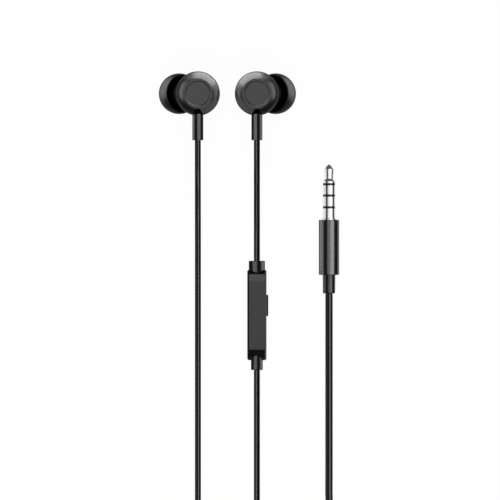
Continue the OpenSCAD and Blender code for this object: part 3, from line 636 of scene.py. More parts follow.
@dataclass(frozen=True)
class Metal(Finish):
    """Stamped or plated metal of the inner parts, on Object coordinates."""

    stretch: Point = (1.0, 1.0, 1.0)

    def paint(self, shader: Shader) -> Inputs:
        """Brushed grain stretched one way, with a spotty patina in colour and gloss."""
        brushed = shader.grain(0.1, 3.0, self.stretch)
        patina = shader.grain(1.1, 3.0).ramp(0.45, 0.8)
        return {
            "Base Color": shader.blend(patina, self.color, tuple(c * 0.75 for c in self.color)),
            "Roughness": self.rough + (brushed - 0.5) * 0.15 + patina * 0.08,
            "Normal": shader.relief(brushed, 0.002),
            "Metallic": 1.0,
        }


@dataclass(frozen=True)
class Winding(Finish):
    """Enamelled copper wire wound in layers: fine grooves across the axis."""

    wire: float = 0.08

    def paint(self, shader: Shader) -> Inputs:
        """Grooves on the height, |sin(pi z / wire)|, and a varying enamel; the colour is darker in the grooves as
        painted shade.
        """
        height = Value(shader, shader.node("ShaderNodeSeparateXYZ", {}, {
            "Vector": shader.place("Object")}).outputs["Z"])
        groove = (height * (math.pi / (self.wire * MM))).sine() ** 2
        cloud = shader.grain(0.6, 2.0)
        return {
            # painted shade: the copper is darkened in the grooves between turns, and varies at random with the cloud
            "Base Color": shader.blend(groove * cloud, tuple(c * 0.45 for c in self.color), self.color),
            "Roughness": self.rough + cloud * 0.1,
            "Normal": shader.relief(groove, 0.02),
            "Metallic": 0.85,
        }


@dataclass(frozen=True)
class Board(Finish):
    """Circuit board: solder mask over copper tracks with tinned pads."""

    def paint(self, shader: Shader) -> Inputs:
        """Tracks where a bent wave along the board peaks, pads at a cell pattern's centres."""
        bend = shader.grain(4.0, 0.0)
        along = Value(shader, shader.node("ShaderNodeSeparateXYZ", {}, {
            "Vector": shader.place("Object")}).outputs["X"])
        tracks = ((along / MM + bend * 1.2) * 9.0).sine().ramp(0.35, 0.75)
        cells = Value(shader, shader.node("ShaderNodeTexVoronoi", {}, {
            "Vector": shader.place("Object"), "Scale": 620.0, "Randomness": 0.7}).outputs["Distance"])
        pads = 1 - cells.ramp(0.16, 0.2)
        mask = shader.blend(tracks, self.color, tuple(c * 1.9 for c in self.color))
        tinned = shader.node("ShaderNodeMix", {"data_type": "RGBA"}, {0: pads, 6: mask, 7: (0.62, 0.6, 0.56, 1)})
        return {
            "Base Color": tinned.outputs[2],
            "Metallic": pads,
            "Roughness": self.rough - tracks * 0.05 + pads * 0.1,
            "Normal": shader.relief(tracks * 0.5 + pads * 0.5, 0.02),
        }


@dataclass(frozen=True)
class Film(Finish):
    """Thin pressed polymer film with fine radial creases and a slight haze."""

    def paint(self, shader: Shader) -> Inputs:
        """A soft haze in colour and gloss and fine creases in the relief."""
        haze = shader.grain(1.4, 2.0)
        crease = shader.grain(0.2, 1.0, (1.0, 1.0, 0.2))
        return {
            "Base Color": shader.blend(haze, self.color, tuple(c * 1.5 for c in self.color)),
            "Roughness": self.rough + haze * 0.1,
            "Normal": shader.relief(crease, 0.004),
        }


@dataclass(frozen=True)
class Woven(Finish):
    """Woven tie band: over-and-under threads, slightly fuzzy."""

    threads: float = 0.3

    def paint(self, shader: Shader) -> Inputs:
        """Thread heights sin(across) sin(along) on Object coordinates, with fibres as noise; the colour follows the
        heights as painted shade between threads and painted highlight on their crowns.
        """
        split = shader.node("ShaderNodeSeparateXYZ", {}, {"Vector": shader.place("Object")})
        x, y, z = (Value(shader, split.outputs[k]) * (2 * math.pi / (self.threads * MM)) for k in range(3))
        weave_height_and_shade = x.sine() * (y + z).sine() * 0.5 + 0.5
        fibre = shader.grain(0.05, 3.0)
        return {
            # painted shade and highlight: darker between threads, lighter on their crowns, with random fibre tone
            "Base Color": shader.blend(weave_height_and_shade * fibre, tuple(c * 0.6 for c in self.color),
                                       tuple(c * 1.8 for c in self.color)),
            "Roughness": self.rough + fibre * 0.1,
            "Normal": shader.relief(weave_height_and_shade * 0.8 + fibre * 0.2, 0.05),
            "Sheen Weight": 0.3,
            "Sheen Roughness": 0.5,
        }


class Finishes(Enum):
    """Every finish on the earphones."""

    BELL = Moulded("bell_satin_black", (0.002, 0.002, 0.0021), 0.3, grain_size=0.5, grain_depth=0.0004,
                   ior=2.0)
    FACE_CAP = Moulded("face_cap_satin", (0.003, 0.003, 0.0031), 0.28, grain_size=0.07, grain_depth=0.0012,
                       specular=0.6)
    # painted shade: the front shell is near-black with almost no reflection, so the gap between bell and ear tip reads
    # as shade
    FRONT = Moulded("front_shell_matt", (0.001, 0.001, 0.001), 0.5, grain_size=0.5, specular=0.1)
    NOZZLE = Moulded("nozzle_satin", (0.012, 0.012, 0.0125), 0.34, grain_size=0.3, grain_depth=0.001)
    TIP = Silicone("ear_tip_silicone", (0.003, 0.003, 0.0031), 0.38, sheen=0.05, specular=0.5)
    # painted shade: a darker, duller copy of the tip's silicone, given to its inner faces
    TIP_INSIDE = Silicone("ear_tip_inside", (0.001, 0.001, 0.001), 0.55, sheen=0.0, specular=0.08)
    # painted shade: the stem root wedge is near-black with almost no reflection, which gives the dark patch above the
    # stem
    ROOT = Moulded("stem_root_matt", (0.001, 0.001, 0.001), 0.5, grain_size=0.1, specular=0.04)
    SLEEVE = Silicone("cord_sleeve_rubber", (0.002, 0.002, 0.0021), 0.24, sheen=0.0, specular=0.5)
    REMOTE = Moulded("remote_satin_black", (0.001, 0.001, 0.0011), 0.26, grain_size=0.1,
                     grain_depth=0.0012, specular=0.44)
    BUTTON = Moulded("button_satin", (0.002, 0.002, 0.0021), 0.3, grain_size=0.1, grain_depth=0.0012)
    BARREL = Moulded("barrel_gloss_black", (0.002, 0.002, 0.0021), 0.2, grain_size=0.4, grain_depth=0.0006,
                     specular=1.0)
    BAND = Moulded("insulator_black", (0.004, 0.004, 0.004), 0.22, specular=0.3)
    JACKET = Jacket("cord_jacket", (0.003, 0.003, 0.0031), 0.28)
    CONTACT = Plated("contact_nickel", (0.66, 0.66, 0.67), 0.16)
    STEEL = Metal("zinc_steel", (0.62, 0.63, 0.66), 0.32, stretch=(1.0, 1.0, 0.15))
    MAGNET = Metal("nickel_magnet", (0.7, 0.69, 0.66), 0.18)
    MESH = Metal("nozzle_mesh_steel", (0.55, 0.55, 0.57), 0.3)
    COPPER = Winding("copper_winding", (0.8, 0.42, 0.2), 0.3)
    FILM = Film("diaphragm_film", (0.05, 0.05, 0.055), 0.25)
    INNER = Moulded("driver_plastic", (0.03, 0.03, 0.032), 0.45, grain_size=0.15, grain_depth=0.004)
    BOARD = Board("circuit_board", (0.012, 0.09, 0.035), 0.35)
    SWITCH = Metal("switch_can", (0.66, 0.66, 0.67), 0.25, stretch=(0.2, 1.0, 1.0))
    TIE = Woven("woven_tie", (0.02, 0.02, 0.021), 0.75)


@dataclass
class Kept:
    """CAD nodes that keep their own mesh and get a finish."""

    nodes: dict[str, Finishes]

    def dress(self) -> None:
        """Dresses the nodes."""
        for name, finish in self.nodes.items():
            finish.value.dress(frame["nodes"][name])
            log.info("%s keeps its mesh, %s", name, finish.name.lower())


def finished(piece: bpy.types.Object, finish: Finishes, slot: str, body: str, *nodes: str) -> bpy.types.Object:
    """Dresses a piece, puts it on its body and hides the nodes it stands for.

    Args:
        piece: The piece.
        finish: Its finish.
        slot: Not used.
        body: The body it rides on.
        *nodes: The CAD nodes that it replaces.

    Returns:
        The same piece.
    """
    finish.value.dress(piece)
    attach(piece, body)
    if nodes:
        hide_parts(*nodes)
    log.info("%s: %d faces, %s", piece.name, len(piece.data.polygons), finish.name.lower())
    return piece


# ---- Cords ----


@dataclass(frozen=True)
class Coil:
    """A neat coil of cord in layers, spiralling in and out by one pitch a turn."""

    centre: Point
    outer_r: float
    pitch: float
    turns: float
    layers: int
    cord_d: float

    def line(self, mirrored: bool = False, steps: int = 72) -> np.ndarray:
        """Centre line, entered at the left side on the way to -Y.

        The angle is 180 + 360 n degrees after n turns. The radius is the outer radius less one
        pitch a turn in even layers, and grows again in odd ones. The height climbs by one pitch in
        the half turn about each reversal.

        Args:
            mirrored: Whether X changes sign.
            steps: Points of each turn.

        Returns:
            The line's points as (n, 3).
        """
        n = np.linspace(0, self.turns * self.layers, int(round(self.turns * self.layers * steps)) + 1)
        layer = np.minimum(np.floor(n / self.turns + 1e-6), self.layers - 1)
        into = n - layer * self.turns
        r = self.outer_r - self.pitch * np.where(layer % 2 == 0, into, self.turns - into)
        k = np.arange(1, self.layers)[:, None]
        climbed = np.clip(2 * (n - k * self.turns) + 0.5, 0, 1)
        climbed = (climbed * climbed * (3 - 2 * climbed)).sum(axis=0)
        a = np.pi + 2 * np.pi * n
        line = np.stack([self.centre[0] + r * np.cos(a), self.centre[1] + r * np.sin(a),
                         self.centre[2] + self.pitch * climbed], -1)
        return line * [-1 if mirrored else 1, 1, 1]


@dataclass(frozen=True)
class Tie:
    """A woven band closed round the turns of a coil, at its side towards -Y."""

    coil: Coil
    width: float = 3.0
    thick: float = 0.5
    slack: float = 0.04

    def build(self, name: str, mirrored: bool) -> bpy.types.Object:
        """Carries a flat rounded section round the bundle of turns in the YZ plane.

        The loop is a taut outline: in each direction u it is the centre of the turn that lies
        furthest that way, plus u times the cord's radius, the slack and half the thickness, kept
        over the floor. Each point of the section is moved along X and along the loop's normal.

        Args:
            name: Name of the object.
            mirrored: Whether X changes sign.

        Returns:
            The new object.
        """
        c = self.coil
        line = c.line()
        under = (np.abs(line[:, 0] - c.centre[0]) < self.width / 2) & (line[:, 1] < c.centre[1])
        turns = line[under, 1:]
        a = np.linspace(0, 2 * np.pi, 144, endpoint=False)
        u = np.stack([np.cos(a), np.sin(a)], -1)
        loop = turns[np.argmax(u @ turns.T, axis=1)] + u * (c.cord_d / 2 + self.slack + self.thick / 2)
        loop[:, 1] = np.maximum(loop[:, 1], self.thick / 2)
        ahead = np.roll(loop, -1, axis=0) - np.roll(loop, 1, axis=0)
        ahead /= np.linalg.norm(ahead, axis=1)[:, None]
        out = np.stack([ahead[:, 1], -ahead[:, 0]], -1)
        section = rounded_rectangle([self.width / 2], [self.thick / 2], [self.thick / 2.2], 4)[0]
        yz = loop[:, None] + out[:, None] * section[None, :, 1:2]
        x = np.broadcast_to(section[None, :, :1], (*yz.shape[:2], 1))
        grid = np.concatenate([x + c.centre[0], yz], -1)
        grid = grid * [-1 if mirrored else 1, 1, 1]
        return surface(name, grid, loop_rows=True)


@dataclass
class Cords:
    """Every cord: both branches, their coils, the main cord, its coil and the ties."""

    branch_d: float = 1.6
    main_d: float = 2.0
    swell: float = 0.06
    stem: Point = (8.4, -9.7, 15.197)
    remote_top: Point = (8.4, -44.3, 2.4)
    remote_foot: Point = (8.4, -75.3, 2.4)
    splitter: Point = (1.4, -145.0, 2.0)
    splitter_foot: Point = (0.0, -155.0, 2.0)
    plug_foot: Point = (28.95, -53.5, 2.9)
    branch_coil: Coil = field(default=Coil((18.45, -128.0, 1.35), 10.05, 2.05, 2, 2, 1.6))
    main_coil: Coil = field(default=Coil((14.416, -164.5, 1.55), 14.415625, 2.45, 2.625, 4, 2.0))

    LEFT = [
        (-8.4, -13, 15.1), (-8.4, -17, 14.3), (-8.4, -21, 12.2), (-8.4, -25, 9.2), (-8.4, -29, 6.1),
        (-8.4, -33, 3.6), (-8.4, -37, 1.9), (-8.4, -41, 1.0),
        *((-8.4, -46.0 - 5 * k, 0.8) for k in range(14)),
        (-8.4, -116, 0.9), (-8.4, -121, 1.2),
    ]
    RIGHT_UPPER = [
        (8.4, -13, 15.1), (8.4, -17, 14.3), (8.4, -21, 12.2), (8.4, -25, 9.2), (8.4, -29, 6.3),
        (8.4, -33, 4.2), (8.4, -37, 2.9), (8.4, -41, 2.4),
    ]
    RIGHT_LOWER = [
        (8.4, -78, 2.35), (8.4, -82, 1.8), (8.4, -86, 1.1), (8.4, -90, 0.8), (8.4, -95, 0.8),
        (8.4, -100, 0.8), (8.4, -105, 0.8), (8.4, -110, 0.8), (8.4, -115, 0.9), (8.4, -121, 1.2),
    ]
    TAIL = [(7.9, -134, 3.2), (6.6, -136, 2.9), (4.9, -137.3, 2.6), (3.2, -138.6, 2.3), (1.9, -140.6, 2.1)]
    MAIN = [
        (28.95, -57, 2.8), (28.95, -61, 2.1), (28.95, -65, 1.3), (28.95, -69, 1.0), (28.95, -75, 1.0),
        (28.95, -81, 1.0), (28.95, -87, 1.0), (28.95, -93, 1.0), (28.95, -99, 1.0), (28.95, -105, 1.0),
        (28.95, -111, 1.0), (29.3, -117, 1.0), (30.2, -123, 1.0), (30.8, -129, 1.0), (30.9, -135, 1.1),
        (30.5, -141, 2.1), (29.7, -147, 4.3), (29.0, -153, 6.9), (28.8, -157.5, 8.4),
    ]
    MAIN_TAIL = [(0.0, -158.5, 1.8)]

    def led(self, start: Sequence[float], route: Sequence[Sequence[float]],
            finish: Sequence[float], d: float) -> np.ndarray:
        """A route that leaves its start and meets its finish straight along Y for one diameter."""
        (x0, y0, z0), (x1, y1, z1) = start, finish
        return np.array([start, (x0, y0 - d, z0), *route, (x1, y1 + d, z1), finish], float)

    def branch(self, lead: np.ndarray, mirrored: bool) -> np.ndarray:
        """A branch's whole line: its lead, its coil and its tail to the splitter."""
        flip = [-1 if mirrored else 1, 1, 1]
        coil = self.branch_coil.line(mirrored)
        tail = self.led(coil[-1], np.array(self.TAIL) * flip, np.array(self.splitter) * flip, self.branch_d)
        return np.vstack([lead[:-1], coil[::6], tail[1:]])

    def lay(self, name: str, points: np.ndarray, d: float, *nodes: str) -> tuple[bpy.types.Object, np.ndarray]:
        """Makes one cord.

        Args:
            name: Name of the piece.
            points: Its route.
            d: Its diameter.
            *nodes: The CAD nodes that it replaces.

        Returns:
            The piece and its centre line in millimetres.
        """
        line = smooth_route(points, 0.45 * d)
        piece = finished(tube(name, line, d / 2 + self.swell), Finishes.JACKET, "jacket", "root", *nodes)
        return piece, line

    def build(self, on_remote: Sequence[str], on_splitter: Sequence[str], on_plug: Sequence[str]) -> None:
        """Makes the four cords and three ties.

        Args:
            on_remote: Names of the pieces of the remote.
            on_splitter: Names of the pieces of the splitter.
            on_plug: Names of the pieces of the plug.
        """
        coil, d = self.branch_coil, self.branch_d
        left_stem = (-self.stem[0], *self.stem[1:])
        left_lead = self.led(left_stem, self.LEFT, coil.line(True)[0], d)
        right_lead = self.led(self.remote_foot, self.RIGHT_LOWER, coil.line()[0], d)
        main = self.main_coil.line()
        lead = self.led(self.splitter_foot, self.MAIN_TAIL, main[0], self.main_d)
        far = self.led(self.plug_foot, self.MAIN, main[-1], self.main_d)
        whole_main = np.vstack([lead[:-1], main[::6], far[::-1][1:]])
        left_tie, right_tie, main_tie = (
            finished(Tie(c).build(f"{side}_tie_band", side == "left"), Finishes.TIE, "tie", "root",
                     f"{side}_coil_tie")
            for side, c in (("left", coil), ("right", coil), ("main", self.main_coil)))
        upper = self.led(self.stem, self.RIGHT_UPPER, self.remote_top, d)
        plan = (
            ("left_branch_cord", self.branch(left_lead, True), d, left_stem, "fitting",
             ["left_cord", "left_cord_coil", "left_cord_tail"], [left_tie.name], "coiled"),
            ("right_upper_cord", upper, d, self.stem, "fitting", ["right_cord_upper"],
             list(on_remote), "loose"),
            ("right_lower_cord", self.branch(right_lead, False), d, self.remote_foot, "fitting",
             ["right_cord_lower", "right_cord_coil", "right_cord_tail"],
             [right_tie.name, *on_splitter], "coiled"),
            ("main_lead", whole_main, self.main_d, self.splitter_foot, "plug",
             ["main_cord", "main_cord_coil", "main_cord_tail"], [main_tie.name, *on_plug], "coiled"),
        )
        for name, points, thick, leaves, end, nodes, pieces, lay in plan:
            piece, line = self.lay(name, points, thick, *nodes)
            tuple(v * MM for v in leaves)
            round(length_of(line) * MM, 3)
            thick * MM
            (line * MM).tolist()
            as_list(pieces)
            log.info("%s is %.3f m long", name, length_of(line) * MM)


# ---- Earbud ----


class Side(Enum):
    """Which ear an earbud is for."""

    LEFT = -1
    RIGHT = 1

    @property
    def word(self) -> str:
        """The side as the nodes' names begin."""
        return self.name.lower()


@dataclass
class Earbud:
    """One earbud, standing on its ear tip with its face up."""

    side: Side
    axis_x: float = 8.4
    axis_y: float = 3.4
    shell_r: float = 6.3
    face_r: float = 4.2
    shoulder_r: float = 3.2
    seam_z: float = 12.497
    face_z: float = 17.997
    wall: float = 0.8
    cap_r: float = 3.46
    pocket_r: float = 3.5
    pocket: float = 0.52
    cap_thick: float = 0.3
    dome_rim_r: float = 6.15
    dome_depth: float = 3.2
    pivot_z: float = 14.497
    tilt: float = 31.5
    nozzle_r: float = 2.55
    bore_r: float = 1.8
    lip_r: float = 2.73
    lip_long: float = 1.2
    nozzle_end: float = 13.8
    shoulder_end: float = 8.30
    core_r: float = 3.38
    core_bore_r: float = 2.78
    tip_r: float = 5.8
    tip_at: float = 10.2
    tip_rim: float = 8.2
    tip_nose: float = 15.2
    skirt: float = 0.6
    mouth_r: float = 2.1
    stem_r: float = 1.565
    stem_z: float = 15.197
    stem_in: float = 4.4
    stem_out: float = 13.3
    root_w: float = 1.1
    root_near: float = 4.35
    root_far: float = 6.1
    cord_r: float = 0.8

    @property
    def upright(self) -> Place:
        """The housing's own axis, mirrored for the left ear."""
        s = self.side.value
        return Place((s * self.axis_x, self.axis_y, 0.0), (s, 0, 0), (0, 1, 0), (0, 0, 1))

    @property
    def along_nozzle(self) -> Place:
        """The nozzle's axis, which leans outwards from the housing's and down."""
        s, a = self.side.value, math.radians(self.tilt)
        return Place((s * self.axis_x, self.axis_y, self.pivot_z),
                     (s * math.cos(a), 0, math.sin(a)), (0, 1, 0), (s * math.sin(a), 0, -math.cos(a)))

    @property
    def along_stem(self) -> Place:
        """The stem's axis, from the housing's axis towards -Y."""
        return Place((self.side.value * self.axis_x, self.axis_y, self.stem_z),
                     (1, 0, 0), (0, 0, 1), (0, -1, 0))

    def bell(self) -> bpy.types.Object:
        """Back shell: straight side, shoulder arc, face ring and the pocket of the cap."""
        bend_r = self.shell_r - self.shoulder_r
        rise = math.sqrt(self.shoulder_r**2 - (self.face_r - bend_r) ** 2)
        bend_z = self.face_z - rise
        start = math.degrees(math.acos((self.face_r - bend_r) / self.shoulder_r))
        outer = arc((bend_r, bend_z), self.shoulder_r, 0, start - 1.5, 28)
        inner_r = self.shell_r - self.wall
        floor_z = self.face_z - self.pocket
        foot = rounded([(inner_r, self.seam_z + 1, 0), (inner_r, self.seam_z, 0.05),
                        (self.shell_r, self.seam_z, 0.12), (self.shell_r, bend_z, 0)], closed=False)[:-1]
        top = rounded([tuple(outer[-1]) + (0,), (self.face_r, self.face_z, 0.07),
                       (self.pocket_r, self.face_z, 0.15), (self.pocket_r, floor_z, 0.03),
                       (0.0, floor_z, 0)], closed=False, steps=6)[1:]
        ceiling = self.face_z - self.pocket - 0.6
        inside = rounded([(0.0, ceiling, 0), (bend_r, ceiling, 0.4), (inner_r, bend_z, 1.5),
                          (inner_r, self.seam_z + 1, 0)], closed=False)
        outline = np.vstack([inside[:-1], foot, outer, top])
        return turned(f"{self.side.word}_bell", outline, self.upright, 128, closed=False)

    def cap(self) -> bpy.types.Object:
        """Trim cap: a thin disc, a little dished, with a rounded edge."""
        low = self.face_z - self.pocket
        high = low + self.cap_thick
        flat = np.linspace(0, self.cap_r - 0.22, 12)
        dish = np.stack([flat[::-1], high - 0.05 * (1 - (flat[::-1] / self.cap_r) ** 2)], -1)
        edge = rounded([(0.0, low, 0), (self.cap_r, low, 0.03), (self.cap_r, high, 0.18),
                        (self.cap_r - 0.22, high, 0)], closed=False)[:-1]
        return turned(f"{self.side.word}_cap", np.vstack([edge, dish]), self.upright, 96, closed=False)

    def front(self) -> bpy.types.Object:
        """Front shell: a shallow sphere under the seam, with a wall."""
        sphere_r = (self.dome_rim_r**2 + self.dome_depth**2) / (2 * self.dome_depth)
        centre = self.seam_z - self.dome_depth + sphere_r
        open_at = math.degrees(math.atan2(self.seam_z - centre, self.dome_rim_r))
        outer = arc((0, centre), sphere_r, -90, open_at, 30)
        inner_r = sphere_r - self.wall
        inner_open = math.degrees(math.asin((self.seam_z - centre) / inner_r))
        inner = arc((0, centre), inner_r, inner_open, -90, 20)
        outer[0, 0] = inner[-1, 0] = 0.0
        return turned(f"{self.side.word}_front", np.vstack([outer, inner]), self.upright, 128, closed=False)

    def nozzle(self) -> bpy.types.Object:
        """Nozzle: shoulder, neck, lip, bore and the seat of the mesh."""
        start, seat = 3.7, 0.25
        outline = rounded([
            (self.bore_r, start, 0), (self.core_r, start, 0.05), (self.core_r, self.shoulder_end, 0.12),
            (self.nozzle_r, self.shoulder_end, 0.12), (self.nozzle_r, self.nozzle_end - self.lip_long, 0.05),
            (self.lip_r, self.nozzle_end - self.lip_long, 0.05), (self.lip_r, self.nozzle_end, 0.15),
            (self.bore_r + 0.3, self.nozzle_end, 0.05), (self.bore_r + 0.3, self.nozzle_end - seat, 0.03),
            (self.bore_r, self.nozzle_end - seat, 0.03),
        ])
        return turned(f"{self.side.word}_nozzle", outline, self.along_nozzle)

    def tip(self) -> bpy.types.Object:
        """Ear tip: outer dome, turned-in rim, thin skirt, and the core round the nozzle; its inner faces carry a
        darker, duller copy of the silicone as painted shade.
        """
        nose = math.sqrt(self.tip_r**2 - (self.tip_nose - self.tip_at) ** 2)
        low = math.degrees(math.asin((self.tip_rim - self.tip_at) / self.tip_r))
        high = math.degrees(math.acos(nose / self.tip_r))
        outer = arc((0, self.tip_at), self.tip_r, high - 4, low + 1.5, 40)
        inner_r = self.tip_r - self.skirt
        web = self.tip_nose - 1.2
        inner_low = math.degrees(math.asin((self.tip_rim - self.tip_at) / inner_r))
        inner_high = math.degrees(math.asin((web - self.tip_at) / inner_r))
        inner = arc((0, self.tip_at), inner_r, inner_low + 1.5, inner_high - 2, 30)
        rim_out = (math.sqrt(self.tip_r**2 - (self.tip_rim - self.tip_at) ** 2), self.tip_rim)
        rim_in = (math.sqrt(inner_r**2 - (self.tip_rim - self.tip_at) ** 2), self.tip_rim)
        web_r = math.sqrt(inner_r**2 - (web - self.tip_at) ** 2)
        start = self.shoulder_end + 0.05
        mouth = rounded([
            (self.core_r, start + 1, 0), (self.core_r, start, 0.12), (self.core_bore_r, start, 0.12),
            (self.core_bore_r, self.nozzle_end + 0.1, 0.05), (self.mouth_r, self.nozzle_end + 0.1, 0.05),
            (self.mouth_r, self.tip_nose, 0.25), (nose, self.tip_nose, 0.3), tuple(outer[0]) + (0,),
        ], closed=False)[:-1]
        rim = rounded([tuple(outer[-1]) + (0,), (*rim_out, 0.2), (*rim_in, 0.2), tuple(inner[0]) + (0,)],
                      closed=False)[1:-1]
        root = rounded([tuple(inner[-1]) + (0,), (web_r, web, 0.03), (self.core_r, web, 0.03),
                        (self.core_r, start + 1, 0)], closed=False)[1:-1]
        outline = np.vstack([mouth, outer, rim, inner, root])
        made = turned(f"{self.side.word}_tip", outline, self.along_nozzle, 112)
        Finishes.TIP.value.dress(made)
        # painted shade: the inner faces and the first rows at the core's foot take the darker silicone copy
        made.data.materials.append(Finishes.TIP_INSIDE.value.material())
        row = np.arange(len(made.data.polygons)) // 112
        painted_shade_rows = (row >= len(mouth) + len(outer) + len(rim) // 2) | (row < 10)
        made.data.polygons.foreach_set("material_index", painted_shade_rows.astype(np.int32))
        return made

    def sleeve(self) -> bpy.types.Object:
        """Stem sleeve: a round rubber tube with a soft edge where the cord leaves it."""
        outline = rounded([
            (0.0, self.stem_in, 0), (self.stem_r, self.stem_in, 0.1), (self.stem_r, self.stem_out, 0.1),
            (self.cord_r, self.stem_out, 0.08), (self.cord_r, self.stem_out - 1.5, 0.02),
            (0.0, self.stem_out - 1.5, 0),
        ], closed=False, steps=6)
        return turned(f"{self.side.word}_sleeve", outline, self.along_stem, 64, closed=False)

    def stem_root(self) -> bpy.types.Object:
        """Root of the stem sleeve: a wedge let into the shoulder above the stem, finished near-black and almost
        unreflecting as painted shade.

        At a distance s from the housing's axis its half width w grows from the narrow end to
        almost the stem's radius. A point (x, s) is at the radius r = hypot(x, s), where the
        shoulder's normal leans a = asin((r - bend_r) / R). It is moved along that normal: a hair
        outwards on top, inwards underneath and at the edges.
        """
        bend_r = self.shell_r - self.shoulder_r
        bend_z = self.face_z - math.sqrt(self.shoulder_r**2 - (self.face_r - bend_r) ** 2)
        s = np.linspace(self.root_near, self.root_far, 28)[:, None]
        w = np.interp(s, [self.root_near, self.shell_r - 0.6], [self.root_w / 2, 0.94 * self.stem_r])
        share = np.linspace(-1, 1, 25)
        top = 0.035 - 0.06 * np.abs(share) ** 14 - 0.06 * np.exp(-(s - self.root_near) / 0.03)
        x = w * np.concatenate([share, share[::-1]])
        lift = np.hstack([top, np.full_like(top, -0.3)])
        r = np.hypot(x, s)
        lean = (r - bend_r) / self.shoulder_r
        moved = bend_r + (self.shoulder_r + lift) * lean
        z = bend_z + (self.shoulder_r + lift) * np.sqrt(1 - lean**2)
        grid = np.stack([x * moved / r, -s * moved / r, z], -1)
        poles = [np.broadcast_to(grid[k].mean(axis=0), grid[k].shape)[None] for k in (0, -1)]
        return surface(f"{self.side.word}_stem_root", np.vstack([poles[0], grid, poles[1]]), self.upright)

    def build(self) -> None:
        """Makes, dresses and places every piece of the earbud."""
        w = self.side.word
        finished(self.bell(), Finishes.BELL, "shell", "root", f"{w}_back_shell")
        finished(self.cap(), Finishes.FACE_CAP, "cap", "root", f"{w}_face_cap")
        # painted shade: the front shell's near-black, almost unreflecting finish
        finished(self.front(), Finishes.FRONT, "shell", "root", f"{w}_front_shell")
        finished(self.nozzle(), Finishes.NOZZLE, "shell", "root", f"{w}_front_shell")
        finished(self.tip(), Finishes.TIP, "silicone", f"{w}_ear_tip", f"{w}_ear_tip")
        finished(self.sleeve(), Finishes.SLEEVE, "sleeve", "root", f"{w}_stem_sleeve")
        # painted shade: the stem root wedge's near-black, almost unreflecting finish
        finished(self.stem_root(), Finishes.ROOT, "sleeve", "root", f"{w}_stem_sleeve")
        Kept({
            f"{w}_nozzle_mesh": Finishes.MESH, f"{w}_driver_frame": Finishes.INNER,
            f"{w}_driver_yoke": Finishes.STEEL, f"{w}_driver_magnet": Finishes.MAGNET,
            f"{w}_pole_plate": Finishes.STEEL, f"{w}_voice_coil": Finishes.COPPER,
            f"{w}_diaphragm": Finishes.FILM,
        }).dress()


# ---- Remote ----


def lofted(
    name: str, place: Place, stations: np.ndarray, section: Callable[[float, float], np.ndarray],
    half_width: np.ndarray, height: np.ndarray,
) -> bpy.types.Object:
    """Carries a section along Y whose half width and height change from station to station.

    Args:
        name: Name of the object.
        place: The axes of the piece.
        stations: Y of each section.
        section: Gives the section's (x, z) points for a half width and a height.
        half_width: Half width at each station.
        height: Height at each station.

    Returns:
        The new object, closed with a fan at both ends.
    """
    rings = np.stack([section(w, h) for w, h in zip(half_width, height)])
    y = np.broadcast_to(stations[:, None, None], (*rings.shape[:2], 1))
    grid = np.concatenate([rings[..., :1], y, rings[..., 1:]], -1)
    poles = [np.broadcast_to(grid[k].mean(axis=0), grid[k].shape)[None] for k in (0, -1)]
    return even_shading(surface(name, np.vstack([poles[0], grid, poles[1]]), place))


